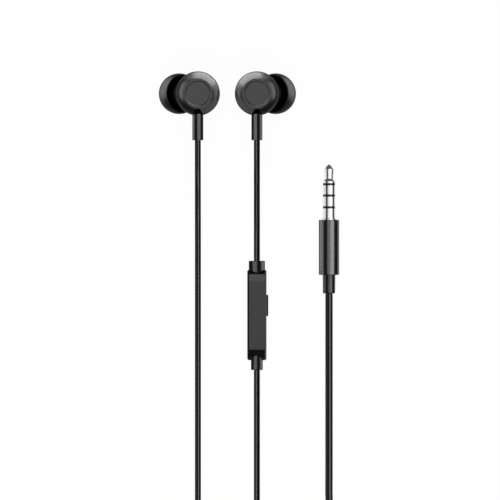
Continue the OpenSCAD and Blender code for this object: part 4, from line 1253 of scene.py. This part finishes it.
@dataclass
class Remote:
    """The remote on the right branch, lying on its back with its face up."""

    middle_x: float = 8.4
    middle_y: float = -59.6
    half_w: float = 2.73
    half_l: float = 12.9
    thick: float = 5.1
    seam: float = 2.4
    wall: float = 0.7
    upper_corner: float = 0.55
    lower_corner: float = 0.62
    end_round: float = 1.55
    upper_facet: float = 3.25
    upper_drop: float = 0.25
    lower_facet: float = 3.2
    bevel_w: float = 0.45
    bevel_h: float = 0.585
    end_block: float = 3.4
    groove: float = 0.05
    button_y: float = 2.7
    button_long: float = 6.1
    button_high: float = 2.0
    button_out: float = 0.52
    button_room: float = 0.08
    flange_face: float = 1.92
    flange_thick: float = 0.4
    port_y: float = -6.1
    port_x: float = -0.4
    upper_sleeve_r: float = 2.3
    lower_sleeve_r: float = 1.69
    upper_sleeve_out: float = 2.53
    lower_sleeve_out: float = 2.8
    cord_r: float = 0.8

    @property
    def place(self) -> Place:
        """The remote's own axes."""
        return Place((self.middle_x, self.middle_y, 0.0))

    def stations(self) -> np.ndarray:
        """Places along Y: close together at the rounded ends and beside each facet's edge."""
        ease = np.sin(np.linspace(0, np.pi / 2, 12))
        upper = self.half_l - self.end_round * (1 - ease)
        lower = -(self.half_l - self.lower_corner * (1 - ease))
        edges = [self.half_l - self.upper_facet, self.lower_facet - self.half_l, 0.85 - self.half_l,
                 0.3 - self.half_l]
        near = np.concatenate([e + np.linspace(-0.25, 0.25, 7) for e in edges])
        middle = np.linspace(-9, 9, 9)
        every = np.unique(np.round(np.concatenate([upper, lower, near, middle]), 4))
        return every[np.abs(every) <= self.half_l]

    def widths(self, y: np.ndarray) -> np.ndarray:
        """Half width at Y: the round corners of the plan, r - sqrt(r^2 - d^2) narrower."""
        r = np.where(y > 0, self.upper_corner, self.lower_corner)
        d = np.clip(np.abs(y) - (self.half_l - r), 0, r)
        return self.half_w - r + np.sqrt(r**2 - d**2)

    def heights(self, y: np.ndarray) -> np.ndarray:
        """Height of the front shell at Y: facets at both ends and a rounded upper end."""
        top = self.thick - self.upper_drop
        edge = 0.12
        side = rounded([
            (-self.half_l, self.thick - 1.8, 0), (0.3 - self.half_l, self.thick - 1.5, edge),
            (0.85 - self.half_l, self.thick - 1.28, edge),
            (self.lower_facet - self.half_l, self.thick, 3.2),
            (self.half_l - self.upper_facet, self.thick, 3.0), (self.half_l, top, 0),
        ], closed=False)
        d = np.clip(y - (self.half_l - self.end_round), 0, self.end_round)
        return np.interp(y, side[:, 0], side[:, 1]) - self.end_round + np.sqrt(self.end_round**2 - d**2)

    def front_section(self, w: float, h: float) -> np.ndarray:
        """Section above the seam, with a bevel along both long edges."""
        b, g = min(self.bevel_w, 0.6 * w), self.groove
        return rounded([
            (-w + g, self.seam, 0), (-w, self.seam + g, 0.02), (-w, h - self.bevel_h, 0.1),
            (-w + b, h, 0.1), (w - b, h, 0.1), (w, h - self.bevel_h, 0.1), (w, self.seam + g, 0.02),
            (w - g, self.seam, 0),
        ], steps=4)

    def back_section(self, w: float, h: float) -> np.ndarray:
        """Section below the seam; h is the height of its underside."""
        b, g = min(self.bevel_w, 0.6 * w), self.groove
        return rounded([
            (w - g, self.seam, 0), (w, self.seam - g, 0.02), (w, h + self.bevel_h, 0.1),
            (w - b, h, 0.1), (-w + b, h, 0.1), (-w, h + self.bevel_h, 0.1), (-w, self.seam - g, 0.02),
            (-w + g, self.seam, 0),
        ], steps=4)

    def room(self) -> list[bpy.types.Object]:
        """Solids that hollow a shell: the cavity, the button's slot and both sleeves' seats."""
        cavity_w, cavity_l = self.half_w - self.wall, self.half_l - self.end_block
        slot_b, slot_h = self.button_long / 2 + self.button_room, self.button_high / 2 + self.button_room
        sideways = Place((self.middle_x, self.middle_y + self.button_y, self.seam),
                         (0, 0, 1), (0, 1, 0), (1, 0, 0))
        pipe = Place((self.middle_x, self.middle_y, self.seam), (1, 0, 0), (0, 0, -1), (0, 1, 0))
        return [
            slab("cavity", Place((self.middle_x, self.middle_y, 0)), cavity_w, cavity_l, 0.05,
                 self.wall, self.thick - self.wall, 0.02, 0.02),
            slab("slot", sideways, slot_h, slot_b, 0.25, cavity_w - 1, self.half_w + 1, 0.02, 0.02),
            turned("seat", rounded([(0, self.half_l - self.end_block - 0.5, 0),
                                    (self.upper_sleeve_r, self.half_l - self.end_block - 0.5, 0),
                                    (self.upper_sleeve_r, self.half_l + 1, 0), (0, self.half_l + 1, 0)],
                                   closed=False), pipe, 48, closed=False),
            turned("foot_seat", rounded([(0, -self.half_l - 1, 0), (self.lower_sleeve_r, -self.half_l - 1, 0),
                                         (self.lower_sleeve_r, self.end_block + 0.5 - self.half_l, 0),
                                         (0, self.end_block + 0.5 - self.half_l, 0)], closed=False),
                   pipe, 48, closed=False),
        ]

    def port(self) -> bpy.types.Object:
        """The solid that cuts the microphone's hole in the back."""
        at = Place((self.middle_x + self.port_x, self.middle_y + self.port_y, 0.0))
        return turned("port", np.array([(0, -1), (0.4, -1), (0.4, 1.5), (0, 1.5)], float), at, 32, closed=False)

    def shells(self) -> tuple[bpy.types.Object, bpy.types.Object]:
        """The front and the back shell, hollowed as the moulded ones are."""
        y = self.stations()
        front = lofted("remote_front", self.place, y, self.front_section, self.widths(y), self.heights(y))
        d = np.clip(np.abs(y) - (self.half_l - 0.9), 0, 0.9)
        back = lofted("remote_back", self.place, y, self.back_section, self.widths(y), d)
        return carved(front, *self.room()), carved(back, *self.room(), self.port())

    def button(self) -> bpy.types.Object:
        """The side button: a long rounded key; flange() makes its flange behind the wall."""
        sideways = Place((self.middle_x, self.middle_y + self.button_y, self.seam),
                         (0, 0, 1), (0, 1, 0), (1, 0, 0))
        low = self.flange_face - self.flange_thick
        key = slab("remote_key", sideways, self.button_high / 2, self.button_long / 2, 0.3,
                   low + 0.05, self.half_w + self.button_out, 0.02, 0.28)
        return key

    def flange(self) -> bpy.types.Object:
        """The flange that keeps the key in its slot."""
        over = 0.35
        high = (self.button_high + 2 * over - 0.1) / 2
        sideways = Place((self.middle_x, self.middle_y + self.button_y, self.seam + 0.05),
                         (0, 0, 1), (0, 1, 0), (1, 0, 0))
        return slab("remote_key_flange", sideways, high, self.button_long / 2 + over, 0.1,
                    self.flange_face - self.flange_thick, self.flange_face, 0.03, 0.03)

    def sleeve(self, name: str, r: float, out: float, up: int) -> bpy.types.Object:
        """A rubber sleeve with soft edges; up is 1 for the upper end and -1 for the lower."""
        at = Place((self.middle_x, self.middle_y, self.seam), (1, 0, 0), (0, 0, -up), (0, up, 0))
        start, end = self.half_l - self.end_block, self.half_l + out
        outline = rounded([(0.0, start, 0), (r - 0.02, start, 0.05), (r, end, 0.28), (self.cord_r, end, 0.08),
                           (self.cord_r, end - 0.5, 0.02), (0.0, end - 0.5, 0)], closed=False, steps=6)
        return turned(name, outline, at, 72, closed=False)

    def build(self) -> list[str]:
        """Makes, dresses and places every piece of the remote.

        Returns:
            The names of the shown pieces.
        """
        front, back = self.shells()
        pieces = [
            finished(front, Finishes.REMOTE, "remote_plastic", "root", "remote_front_shell"),
            finished(back, Finishes.REMOTE, "remote_plastic", "root", "remote_back_shell"),
            finished(self.button(), Finishes.BUTTON, "button", "remote_button", "remote_button"),
            finished(self.flange(), Finishes.BUTTON, "button", "remote_button", "remote_button"),
            finished(self.sleeve("remote_upper_boot", self.upper_sleeve_r, self.upper_sleeve_out, 1),
                     Finishes.SLEEVE, "sleeve", "root", "remote_upper_sleeve"),
            finished(self.sleeve("remote_lower_boot", self.lower_sleeve_r, self.lower_sleeve_out, -1),
                     Finishes.SLEEVE, "sleeve", "root", "remote_lower_sleeve"),
        ]
        Kept({"remote_board": Finishes.BOARD, "remote_switch": Finishes.SWITCH,
              "remote_microphone": Finishes.SWITCH}).dress()
        return [p.name for p in pieces] + ["remote_board", "remote_switch", "remote_microphone"]


# ---- Plug ----


@dataclass
class Plug:
    """The four-pole plug, lying on its barrel with its point towards +Y."""

    axis_x: float = 28.95
    front_y: float = -32.5
    barrel_r: float = 2.9
    barrel_long: float = 15.7
    barrel_wall: float = 0.5
    pin_r: float = 1.75
    pin_long: float = 15.7
    point_long: float = 1.2
    point_r: float = 1.35
    neck_r: float = 1.2
    band: float = 0.62
    band_at: tuple[float, float, float] = (10.12, 6.92, 3.55)
    tube_r: float = 1.1
    rod_r: float = 0.45
    collar_r: float = 2.07
    collar_long: float = 0.4
    relief_r: float = 1.8
    relief_long: float = 5.3
    cord_r: float = 1.0

    @property
    def place(self) -> Place:
        """The plug's axis, with Z towards the point."""
        return Place((self.axis_x, self.front_y, self.barrel_r), (1, 0, 0), (0, 0, -1), (0, 1, 0))

    def turn(self, name: str, corners: Sequence[Sequence[float]], closed: bool, steps: int = 5) -> bpy.types.Object:
        """Turns an outline of corners and their radii about the plug's axis."""
        return turned(name, rounded(corners, closed=closed, steps=steps), self.place, 96, closed=closed)

    def barrel(self) -> bpy.types.Object:
        """Barrel: a plain tube with softened edges, open behind for the relief."""
        r, long, hole, bore = self.barrel_r, self.barrel_long, self.collar_r + 0.02, self.barrel_r - self.barrel_wall
        return self.turn("barrel", [
            (r, -long, 0.25), (r, 0, 0.25), (hole, 0, 0.04), (hole, -0.6, 0.02), (bore, -0.6, 0.02),
            (bore, -long, 0.05)], True, 6)

    def point(self) -> bpy.types.Object:
        """Tip contact: blunt point, cone, waist and flare, with the rod behind it."""
        long, end = self.pin_long, self.band_at[0] + self.band / 2
        return self.turn("tip_contact", [
            (0.0, long, 0), (0.32, long - 0.02, 0.15), (self.point_r, long - self.point_long, 0.3),
            (self.neck_r, long - 4.0, 0.5), (self.pin_r, long - 4.7, 0.25), (self.pin_r, end, 0.04),
            (self.rod_r, end, 0.02), (self.rod_r, -3.6, 0.05), (0.0, -3.6, 0)], False)

    def ring(self, name: str, low: float, high: float) -> bpy.types.Object:
        """One ring contact between two bands."""
        return self.turn(name, [(self.pin_r, low, 0.04), (self.pin_r, high, 0.04),
                                (self.tube_r, high, 0.02), (self.tube_r, low, 0.02)], True)

    def ground(self) -> bpy.types.Object:
        """Ground contact: the rear of the pin, its collar, and the flange in the barrel."""
        end, bore = self.band_at[2] - self.band / 2, self.barrel_r - self.barrel_wall - 0.02
        return self.turn("ground_contact", [
            (self.tube_r, end, 0.02), (self.pin_r, end, 0.04), (self.pin_r, self.collar_long, 0.05),
            (self.collar_r, self.collar_long, 0.12), (self.collar_r, -0.6, 0.02), (bore, -0.6, 0.02),
            (bore, -1.4, 0.05), (self.tube_r, -1.4, 0.05)], True)

    def insulator(self) -> bpy.types.Object:
        """One band of the insulator, a hair below the contacts beside it."""
        made = []
        for at in self.band_at:
            low, high = at - self.band / 2, at + self.band / 2
            made.append(rounded([(self.pin_r - 0.03, low - 0.02, 0.02), (self.pin_r - 0.03, high + 0.02, 0.02),
                                 (self.tube_r - 0.05, high + 0.02, 0.02), (self.tube_r - 0.05, low - 0.02, 0.02)]))
        bands = [turned(f"insulator_band_{k + 1}", outline, self.place, 96) for k, outline in enumerate(made)]
        tube_piece = self.turn("insulator_tube", [
            (self.rod_r + 0.01, -1.4, 0.02), (self.tube_r - 0.01, -1.4, 0.02),
            (self.tube_r - 0.01, self.band_at[0] + 0.25, 0.02), (self.rod_r + 0.01, self.band_at[0] + 0.25, 0.02)],
            True)
        return joined("insulator", bands + [tube_piece])

    def relief(self) -> bpy.types.Object:
        """Strain relief: a slim rubber sleeve, slightly tapered, with a soft end."""
        start, root = -self.barrel_long + 2.2, -self.barrel_long + 0.2
        bore, end = self.barrel_r - self.barrel_wall - 0.02, -self.barrel_long - self.relief_long
        return self.turn("plug_boot", [
            (0.0, start, 0), (bore, start, 0.05), (bore, root, 0.05), (self.relief_r, root, 0.05),
            (self.relief_r - 0.05, end, 0.35), (self.cord_r, end, 0.1), (self.cord_r, end + 0.5, 0.02),
            (0.0, end + 0.5, 0)], False, 6)

    def build(self) -> list[str]:
        """Makes, dresses and places every piece of the plug.

        Returns:
            The names of the shown pieces.
        """
        half = self.band / 2
        first, second, third = self.band_at
        pieces = [
            finished(self.barrel(), Finishes.BARREL, "barrel", "root", "plug_barrel"),
            finished(self.point(), Finishes.CONTACT, "contacts", "root", "plug_tip"),
            finished(self.ring("front_ring", second + half, first - half), Finishes.CONTACT, "contacts",
                     "root", "plug_front_ring"),
            finished(self.ring("rear_ring", third + half, second - half), Finishes.CONTACT, "contacts",
                     "root", "plug_rear_ring"),
            finished(self.ground(), Finishes.CONTACT, "contacts", "root", "plug_ground"),
            finished(self.insulator(), Finishes.BAND, "insulator", "root", "plug_insulator"),
            finished(self.relief(), Finishes.SLEEVE, "sleeve", "root", "plug_relief"),
        ]
        Kept({"plug_core": Finishes.INNER}).dress()
        return [p.name for p in pieces] + ["plug_core"]


def joined(name: str, pieces: Sequence[bpy.types.Object]) -> bpy.types.Object:
    """Joins the meshes of several pieces into one object.

    Args:
        name: Name of the new object.
        pieces: The pieces, which are deleted.

    Returns:
        The new object.
    """
    with bpy.context.temp_override(active_object=pieces[0], object=pieces[0],
                                   selected_objects=list(pieces), selected_editable_objects=list(pieces)):
        bpy.ops.object.join()
    pieces[0].name = pieces[0].data.name = name
    return pieces[0]


# ---- Splitter ----


@dataclass
class Splitter:
    """The moulded Y splitter where both branches meet the main cord."""

    front_y: float = -145.0
    long: float = 8.0
    half_w: float = 3.0
    tail_w: float = 2.0
    thick: float = 4.0
    bevel: float = 0.7
    relief_r: float = 1.7
    relief_long: float = 2.0
    plug_in: float = 1.3

    def section(self, w: float, h: float) -> np.ndarray:
        """Octagon of half width w and half height h with soft corners."""
        b, r, z = min(self.bevel, 0.6 * h), 0.18, self.thick / 2
        corners = [(w, h - b), (w - b, h), (-w + b, h), (-w, h - b), (-w, b - h), (b - w, -h), (w - b, -h), (w, b - h)]
        return rounded([(x, z + y, r) for x, y in corners], steps=4)

    def body(self) -> bpy.types.Object:
        """The body, narrower towards the main cord, with eased ends."""
        ease = 1 - np.sin(np.linspace(0, np.pi / 2, 8))
        y = np.concatenate([-self.bevel * (1 - ease), np.linspace(-self.bevel - 0.3, -self.long + self.bevel + 0.3, 12),
                            -self.long + self.bevel * (1 - ease)[::-1]])
        wide = np.interp(-y, [0, 0.4 * self.long, self.long - self.bevel, self.long],
                         [self.half_w, self.half_w, self.tail_w, self.tail_w])
        d = np.clip(np.maximum(self.bevel + y, self.bevel - self.long - y), 0, self.bevel) / self.bevel
        inset = 0.45 * (1 - np.sqrt(np.clip(1 - d**2, 0, 1)))
        return lofted("splitter", Place((0.0, self.front_y, 0.0)), y, self.section, wide - inset,
                      self.thick / 2 - 0.5 * inset)

    def relief(self) -> bpy.types.Object:
        """The short relief on the main cord."""
        at = Place((0.0, self.front_y - self.long, self.thick / 2), (1, 0, 0), (0, 0, 1), (0, -1, 0))
        outline = rounded([(0.0, -1.5, 0), (self.plug_in, -1.5, 0.05), (self.plug_in, 0, 0.02),
                           (self.relief_r, 0, 0.05), (self.relief_r - 0.1, self.relief_long, 0.3),
                           (0.0, self.relief_long, 0)], closed=False, steps=6)
        return turned("splitter_boot", outline, at, 64, closed=False)

    def build(self) -> list[str]:
        """Makes, dresses and places both pieces and gives their names."""
        pieces = [
            finished(self.body(), Finishes.REMOTE, "remote_plastic", "root", "splitter_body"),
            finished(self.relief(), Finishes.SLEEVE, "sleeve", "root", "splitter_relief"),
        ]
        return [p.name for p in pieces]


# ---- Studio ----


@dataclass(frozen=True)
class Card:
    """A lit card far from the object, which only the pieces it is meant for reflect.

    Seen from the object it is at an azimuth from +X and an elevation over the floor, and reaches
    the half angles wide and high to its sides. Its level is its radiance; the power of a flat
    light of area A is 4 A times that.
    """

    name: str
    azimuth: float
    elevation: float
    wide: float
    high: float
    level: float
    pieces: tuple[str, ...]

    FAR = 0.6
    AIM = Vector((0.008, -0.03, 0.008))

    def hang(self) -> None:
        """Makes the area light and links it to its pieces."""
        azimuth, elevation = math.radians(self.azimuth), math.radians(self.elevation)
        towards = Vector((math.cos(elevation) * math.cos(azimuth), math.cos(elevation) * math.sin(azimuth),
                          math.sin(elevation)))
        data = bpy.data.lights.new(self.name, "AREA")
        data.shape = "RECTANGLE"
        data.size, data.size_y = (2 * self.FAR * math.tan(math.radians(a)) for a in (self.wide, self.high))
        data.energy = 4 * data.size * data.size_y * self.level
        made = bpy.data.objects.new(self.name, data)
        made.location = self.AIM + towards * self.FAR
        made.rotation_mode = "QUATERNION"
        made.rotation_quaternion = (-towards).to_track_quat("-Z", "Y")
        made.visible_camera = False
        bpy.context.scene.collection.objects.link(made)
        lit = bpy.data.collections.new(f"{self.name}_pieces")
        for piece in self.pieces:
            lit.objects.link(bpy.data.objects[piece])
        made.light_linking.receiver_collection = lit
        if len(self.pieces) < 6:
            made.light_linking.blocker_collection = lit
        log.info("card %s lights %s", self.name, ", ".join(self.pieces[:6]))


CONTACTS = ("tip_contact", "front_ring", "rear_ring", "ground_contact")
BOOTS = ("remote_upper_boot", "remote_lower_boot")
PLUG_TUBES = ("barrel", "plug_boot", "insulator")
RIGHT_CORDS = ("right_upper_cord", "right_lower_cord")
BELLS = ("right_bell", "left_bell")
FACES = ("right_cap", "left_cap", "remote_front")
ROUND = (*CONTACTS, *BOOTS, *PLUG_TUBES, *RIGHT_CORDS, "right_sleeve", "left_sleeve", "left_branch_cord",
         "main_lead", "insulator")


@dataclass
class Studio:
    """Camera, pale floor, and the soft light round it."""

    centre_x: float = 6.44
    centre_y: float = -41.1
    frame_width: float = 142.5
    lens: float = 1500.0
    sensor: float = 36.0
    floor_size: float = 30.0
    dark: float = 0.045
    below: float = 0.15
    cards: tuple[Card, ...] = (
        Card("bell_overhead", -90, 84, 19, 30, 0.49, BELLS),
        Card("right_bell_key", 112, 5, 36, 45, 1.98, ("right_bell",)),
        Card("left_bell_key", 68, 5, 36, 45, 1.98, ("left_bell",)),
        Card("right_bell_wash", 118, 5, 66, 44, 0.47, ("right_bell",)),
        Card("left_bell_wash", 62, 5, 66, 44, 0.47, ("left_bell",)),
        Card("right_bell_edge", 14, 26, 26, 22, 0.92, ("right_bell",)),
        Card("left_bell_edge", 166, 26, 26, 22, 0.92, ("left_bell",)),
        Card("right_bell_low", 220, 4, 45, 34, 0.36, ("right_bell",)),
        Card("left_bell_low", -40, 4, 45, 34, 0.36, ("left_bell",)),
        Card("right_bell_foot", 242, 46, 24, 8, 0.44, ("right_bell",)),
        Card("left_bell_foot", -62, 46, 24, 8, 0.44, ("left_bell",)),
        Card("right_bell_rim", 170, -24, 20, 26, 0.45, ("right_bell",)),
        Card("left_bell_rim", 10, -24, 20, 26, 0.45, ("left_bell",)),
        Card("right_tip_side", 22, -13, 38, 31, 1.15, ("right_tip", "right_nozzle")),
        Card("left_tip_side", 158, -13, 38, 31, 1.15, ("left_tip", "left_nozzle")),
        Card("right_tip_core", 28, 4, 34, 30, 1.0, ("right_tip", "right_nozzle")),
        Card("left_tip_core", 152, 4, 34, 30, 1.0, ("left_tip", "left_nozzle")),
        Card("right_stem_key", 180, 56, 60, 33, 2.4, ("right_sleeve",)),
        Card("boot_key", 180, 59, 60, 32, 1.85, BOOTS),
        Card("right_side", 0, -2, 40, 28, 1.9, ("right_sleeve", *BOOTS)),
        Card("left_key", 0, 66, 60, 34, 2.35, ("left_sleeve",)),
        Card("left_side", 180, -8, 40, 28, 1.7, ("left_sleeve",)),
        Card("plug_side", 180, -6, 40, 30, 1.2, PLUG_TUBES),
        Card("plug_wash", 0, 68, 60, 40, 1.1, PLUG_TUBES),
        Card("plug_core", 0, 53, 60, 20, 1.7, PLUG_TUBES),
        Card("plug_edge", 0, -42, 40, 16, 0.55, PLUG_TUBES),
        Card("right_cord_key", 180, 76, 74, 13, 3.0, RIGHT_CORDS),
        Card("right_cord_slope", -103, 20, 8, 17, 2.3, RIGHT_CORDS),
        Card("right_cord_wash", 180, 40, 40, 35, 0.36, RIGHT_CORDS),
        Card("left_cord_key", 0, 68, 74, 12, 4.0, ("left_branch_cord",)),
        Card("left_cord_slope", -70, 20, 8, 17, 3.5, ("left_branch_cord",)),
        Card("main_key", 0, 57, 74, 20, 2.8, ("main_lead",)),
        Card("main_wash", 180, 5, 40, 40, 0.4, ("main_lead", "left_branch_cord")),
        Card("pin_wash", 0, 66, 40, 48, 0.9, CONTACTS),
        Card("pin_core", 0, 52, 40, 18, 0.65, CONTACTS),
        Card("pin_side", 180, -20, 40, 48, 0.82, CONTACTS),
        Card("pin_edge", 0, -47, 40, 23, 0.7, CONTACTS),
        Card("pin_end", 90, 20, 40, 25, 0.09, CONTACTS),
        Card("remote_top", 90, 78, 19, 7, 1.15, ("remote_front",)),
        Card("remote_foot", -90, 50, 25, 3, 1.5, ("remote_front",)),
        Card("remote_side", 0, -15, 40, 20, 0.85, ("remote_front",)),
        Card("face_left", 180, 38, 40, 20, 0.8, FACES),
        Card("face_right", 0, 38, 40, 20, 0.8, FACES),
        Card("face_back", 90, 30, 40, 18, 0.8, ("right_cap", "left_cap")),
        Card("right_cap_arc", -45, 46, 36, 16, 3.2, ("right_cap",)),
        Card("left_cap_arc", 225, 46, 36, 16, 3.2, ("left_cap",)),
    )

    def camera(self) -> None:
        """A long lens straight above, at the distance where the frame is as wide as asked."""
        data = bpy.data.cameras.new("camera")
        data.lens, data.sensor_width = self.lens, self.sensor
        distance = self.frame_width * MM * self.lens / self.sensor
        data.clip_start, data.clip_end = 0.01, 1000.0
        made = bpy.data.objects.new("camera", data)
        made.location = (self.centre_x * MM, self.centre_y * MM, distance)
        bpy.context.scene.collection.objects.link(made)
        bpy.context.scene.camera = made
        log.info("camera %.3f m above the floor", distance)

    def floor(self) -> None:
        """A plain pale floor that the camera sees as white, with faint contact shadows."""
        n = 24
        t = np.linspace(-0.5, 0.5, n) * self.floor_size / MM
        x, y = np.meshgrid(t, t, indexing="ij")
        mesh = bpy.data.meshes.new("floor")
        points = np.stack([x, y, np.full_like(x, -0.02)], -1).reshape(-1, 3) * MM
        i, j = np.meshgrid(np.arange(n - 1), np.arange(n - 1), indexing="ij")
        index = np.stack([i * n + j, (i + 1) * n + j, (i + 1) * n + j + 1, i * n + j + 1], -1).reshape(-1, 4)
        mesh.from_pydata(points.tolist(), [], index.tolist())
        made = bpy.data.objects.new("floor", mesh)
        bpy.context.scene.collection.objects.link(made)
        material = bpy.data.materials.new("floor_paper")
        shader = Shader(material)
        grain = shader.grain(40.0, 2.0)
        shader.close("ShaderNodeBsdfPrincipled", {
            "Base Color": shader.blend(grain, (0.14, 0.14, 0.14), (0.16, 0.16, 0.16)),
            "Roughness": 0.9, "Specular IOR Level": 0.0,
            "Emission Color": (1, 1, 1, 1), "Emission Strength": 0.95,
        })
        made.data.materials.append(material)
        made.visible_glossy = made.visible_shadow = False

    def surroundings(self) -> None:
        """Darkness round the object, with a dim glow from the floor's side, which grows with -z."""
        world = bpy.data.worlds.new("studio")
        bpy.context.scene.world = world
        shader = Shader(world)
        split = shader.node("ShaderNodeSeparateXYZ", {}, {
            "Vector": shader.node("ShaderNodeTexCoord").outputs["Generated"]})
        level = (0 - Value(shader, split.outputs["Z"])).ramp(0.12, 0.5) * self.below + self.dark
        seen = Value(shader, shader.node("ShaderNodeLightPath").outputs["Is Camera Ray"])
        shader.close("ShaderNodeBackground", {
            "Color": (1, 1, 1, 1), "Strength": level * (1 - seen) + seen * 1.0})

    def build(self) -> None:
        """Sets up the whole studio."""
        self.floor()
        self.surroundings()
        flat = tuple(o.name for o in bpy.data.objects if o.type == "MESH" and o.name not in ROUND + BELLS)
        for card in (Card("overhead", -90, 84, 19, 30, 1.12, flat), *self.cards):
            card.hang()
        scene = bpy.context.scene
        scene.view_settings.view_transform = "Standard"
        scene.view_settings.look = "None"


def main() -> None:
    """Builds the studio, the cords and every sub-assembly."""
    logging.basicConfig(level=logging.INFO, format="%(name)s %(message)s", stream=sys.stdout)
    studio = Studio()
    studio.camera()
    on_remote, on_splitter, on_plug = Remote().build(), Splitter().build(), Plug().build()
    Cords().build(on_remote, on_splitter, on_plug)
    for side in Side:
        Earbud(side).build()
    studio.build()


if __name__ == "__main__":
    main()
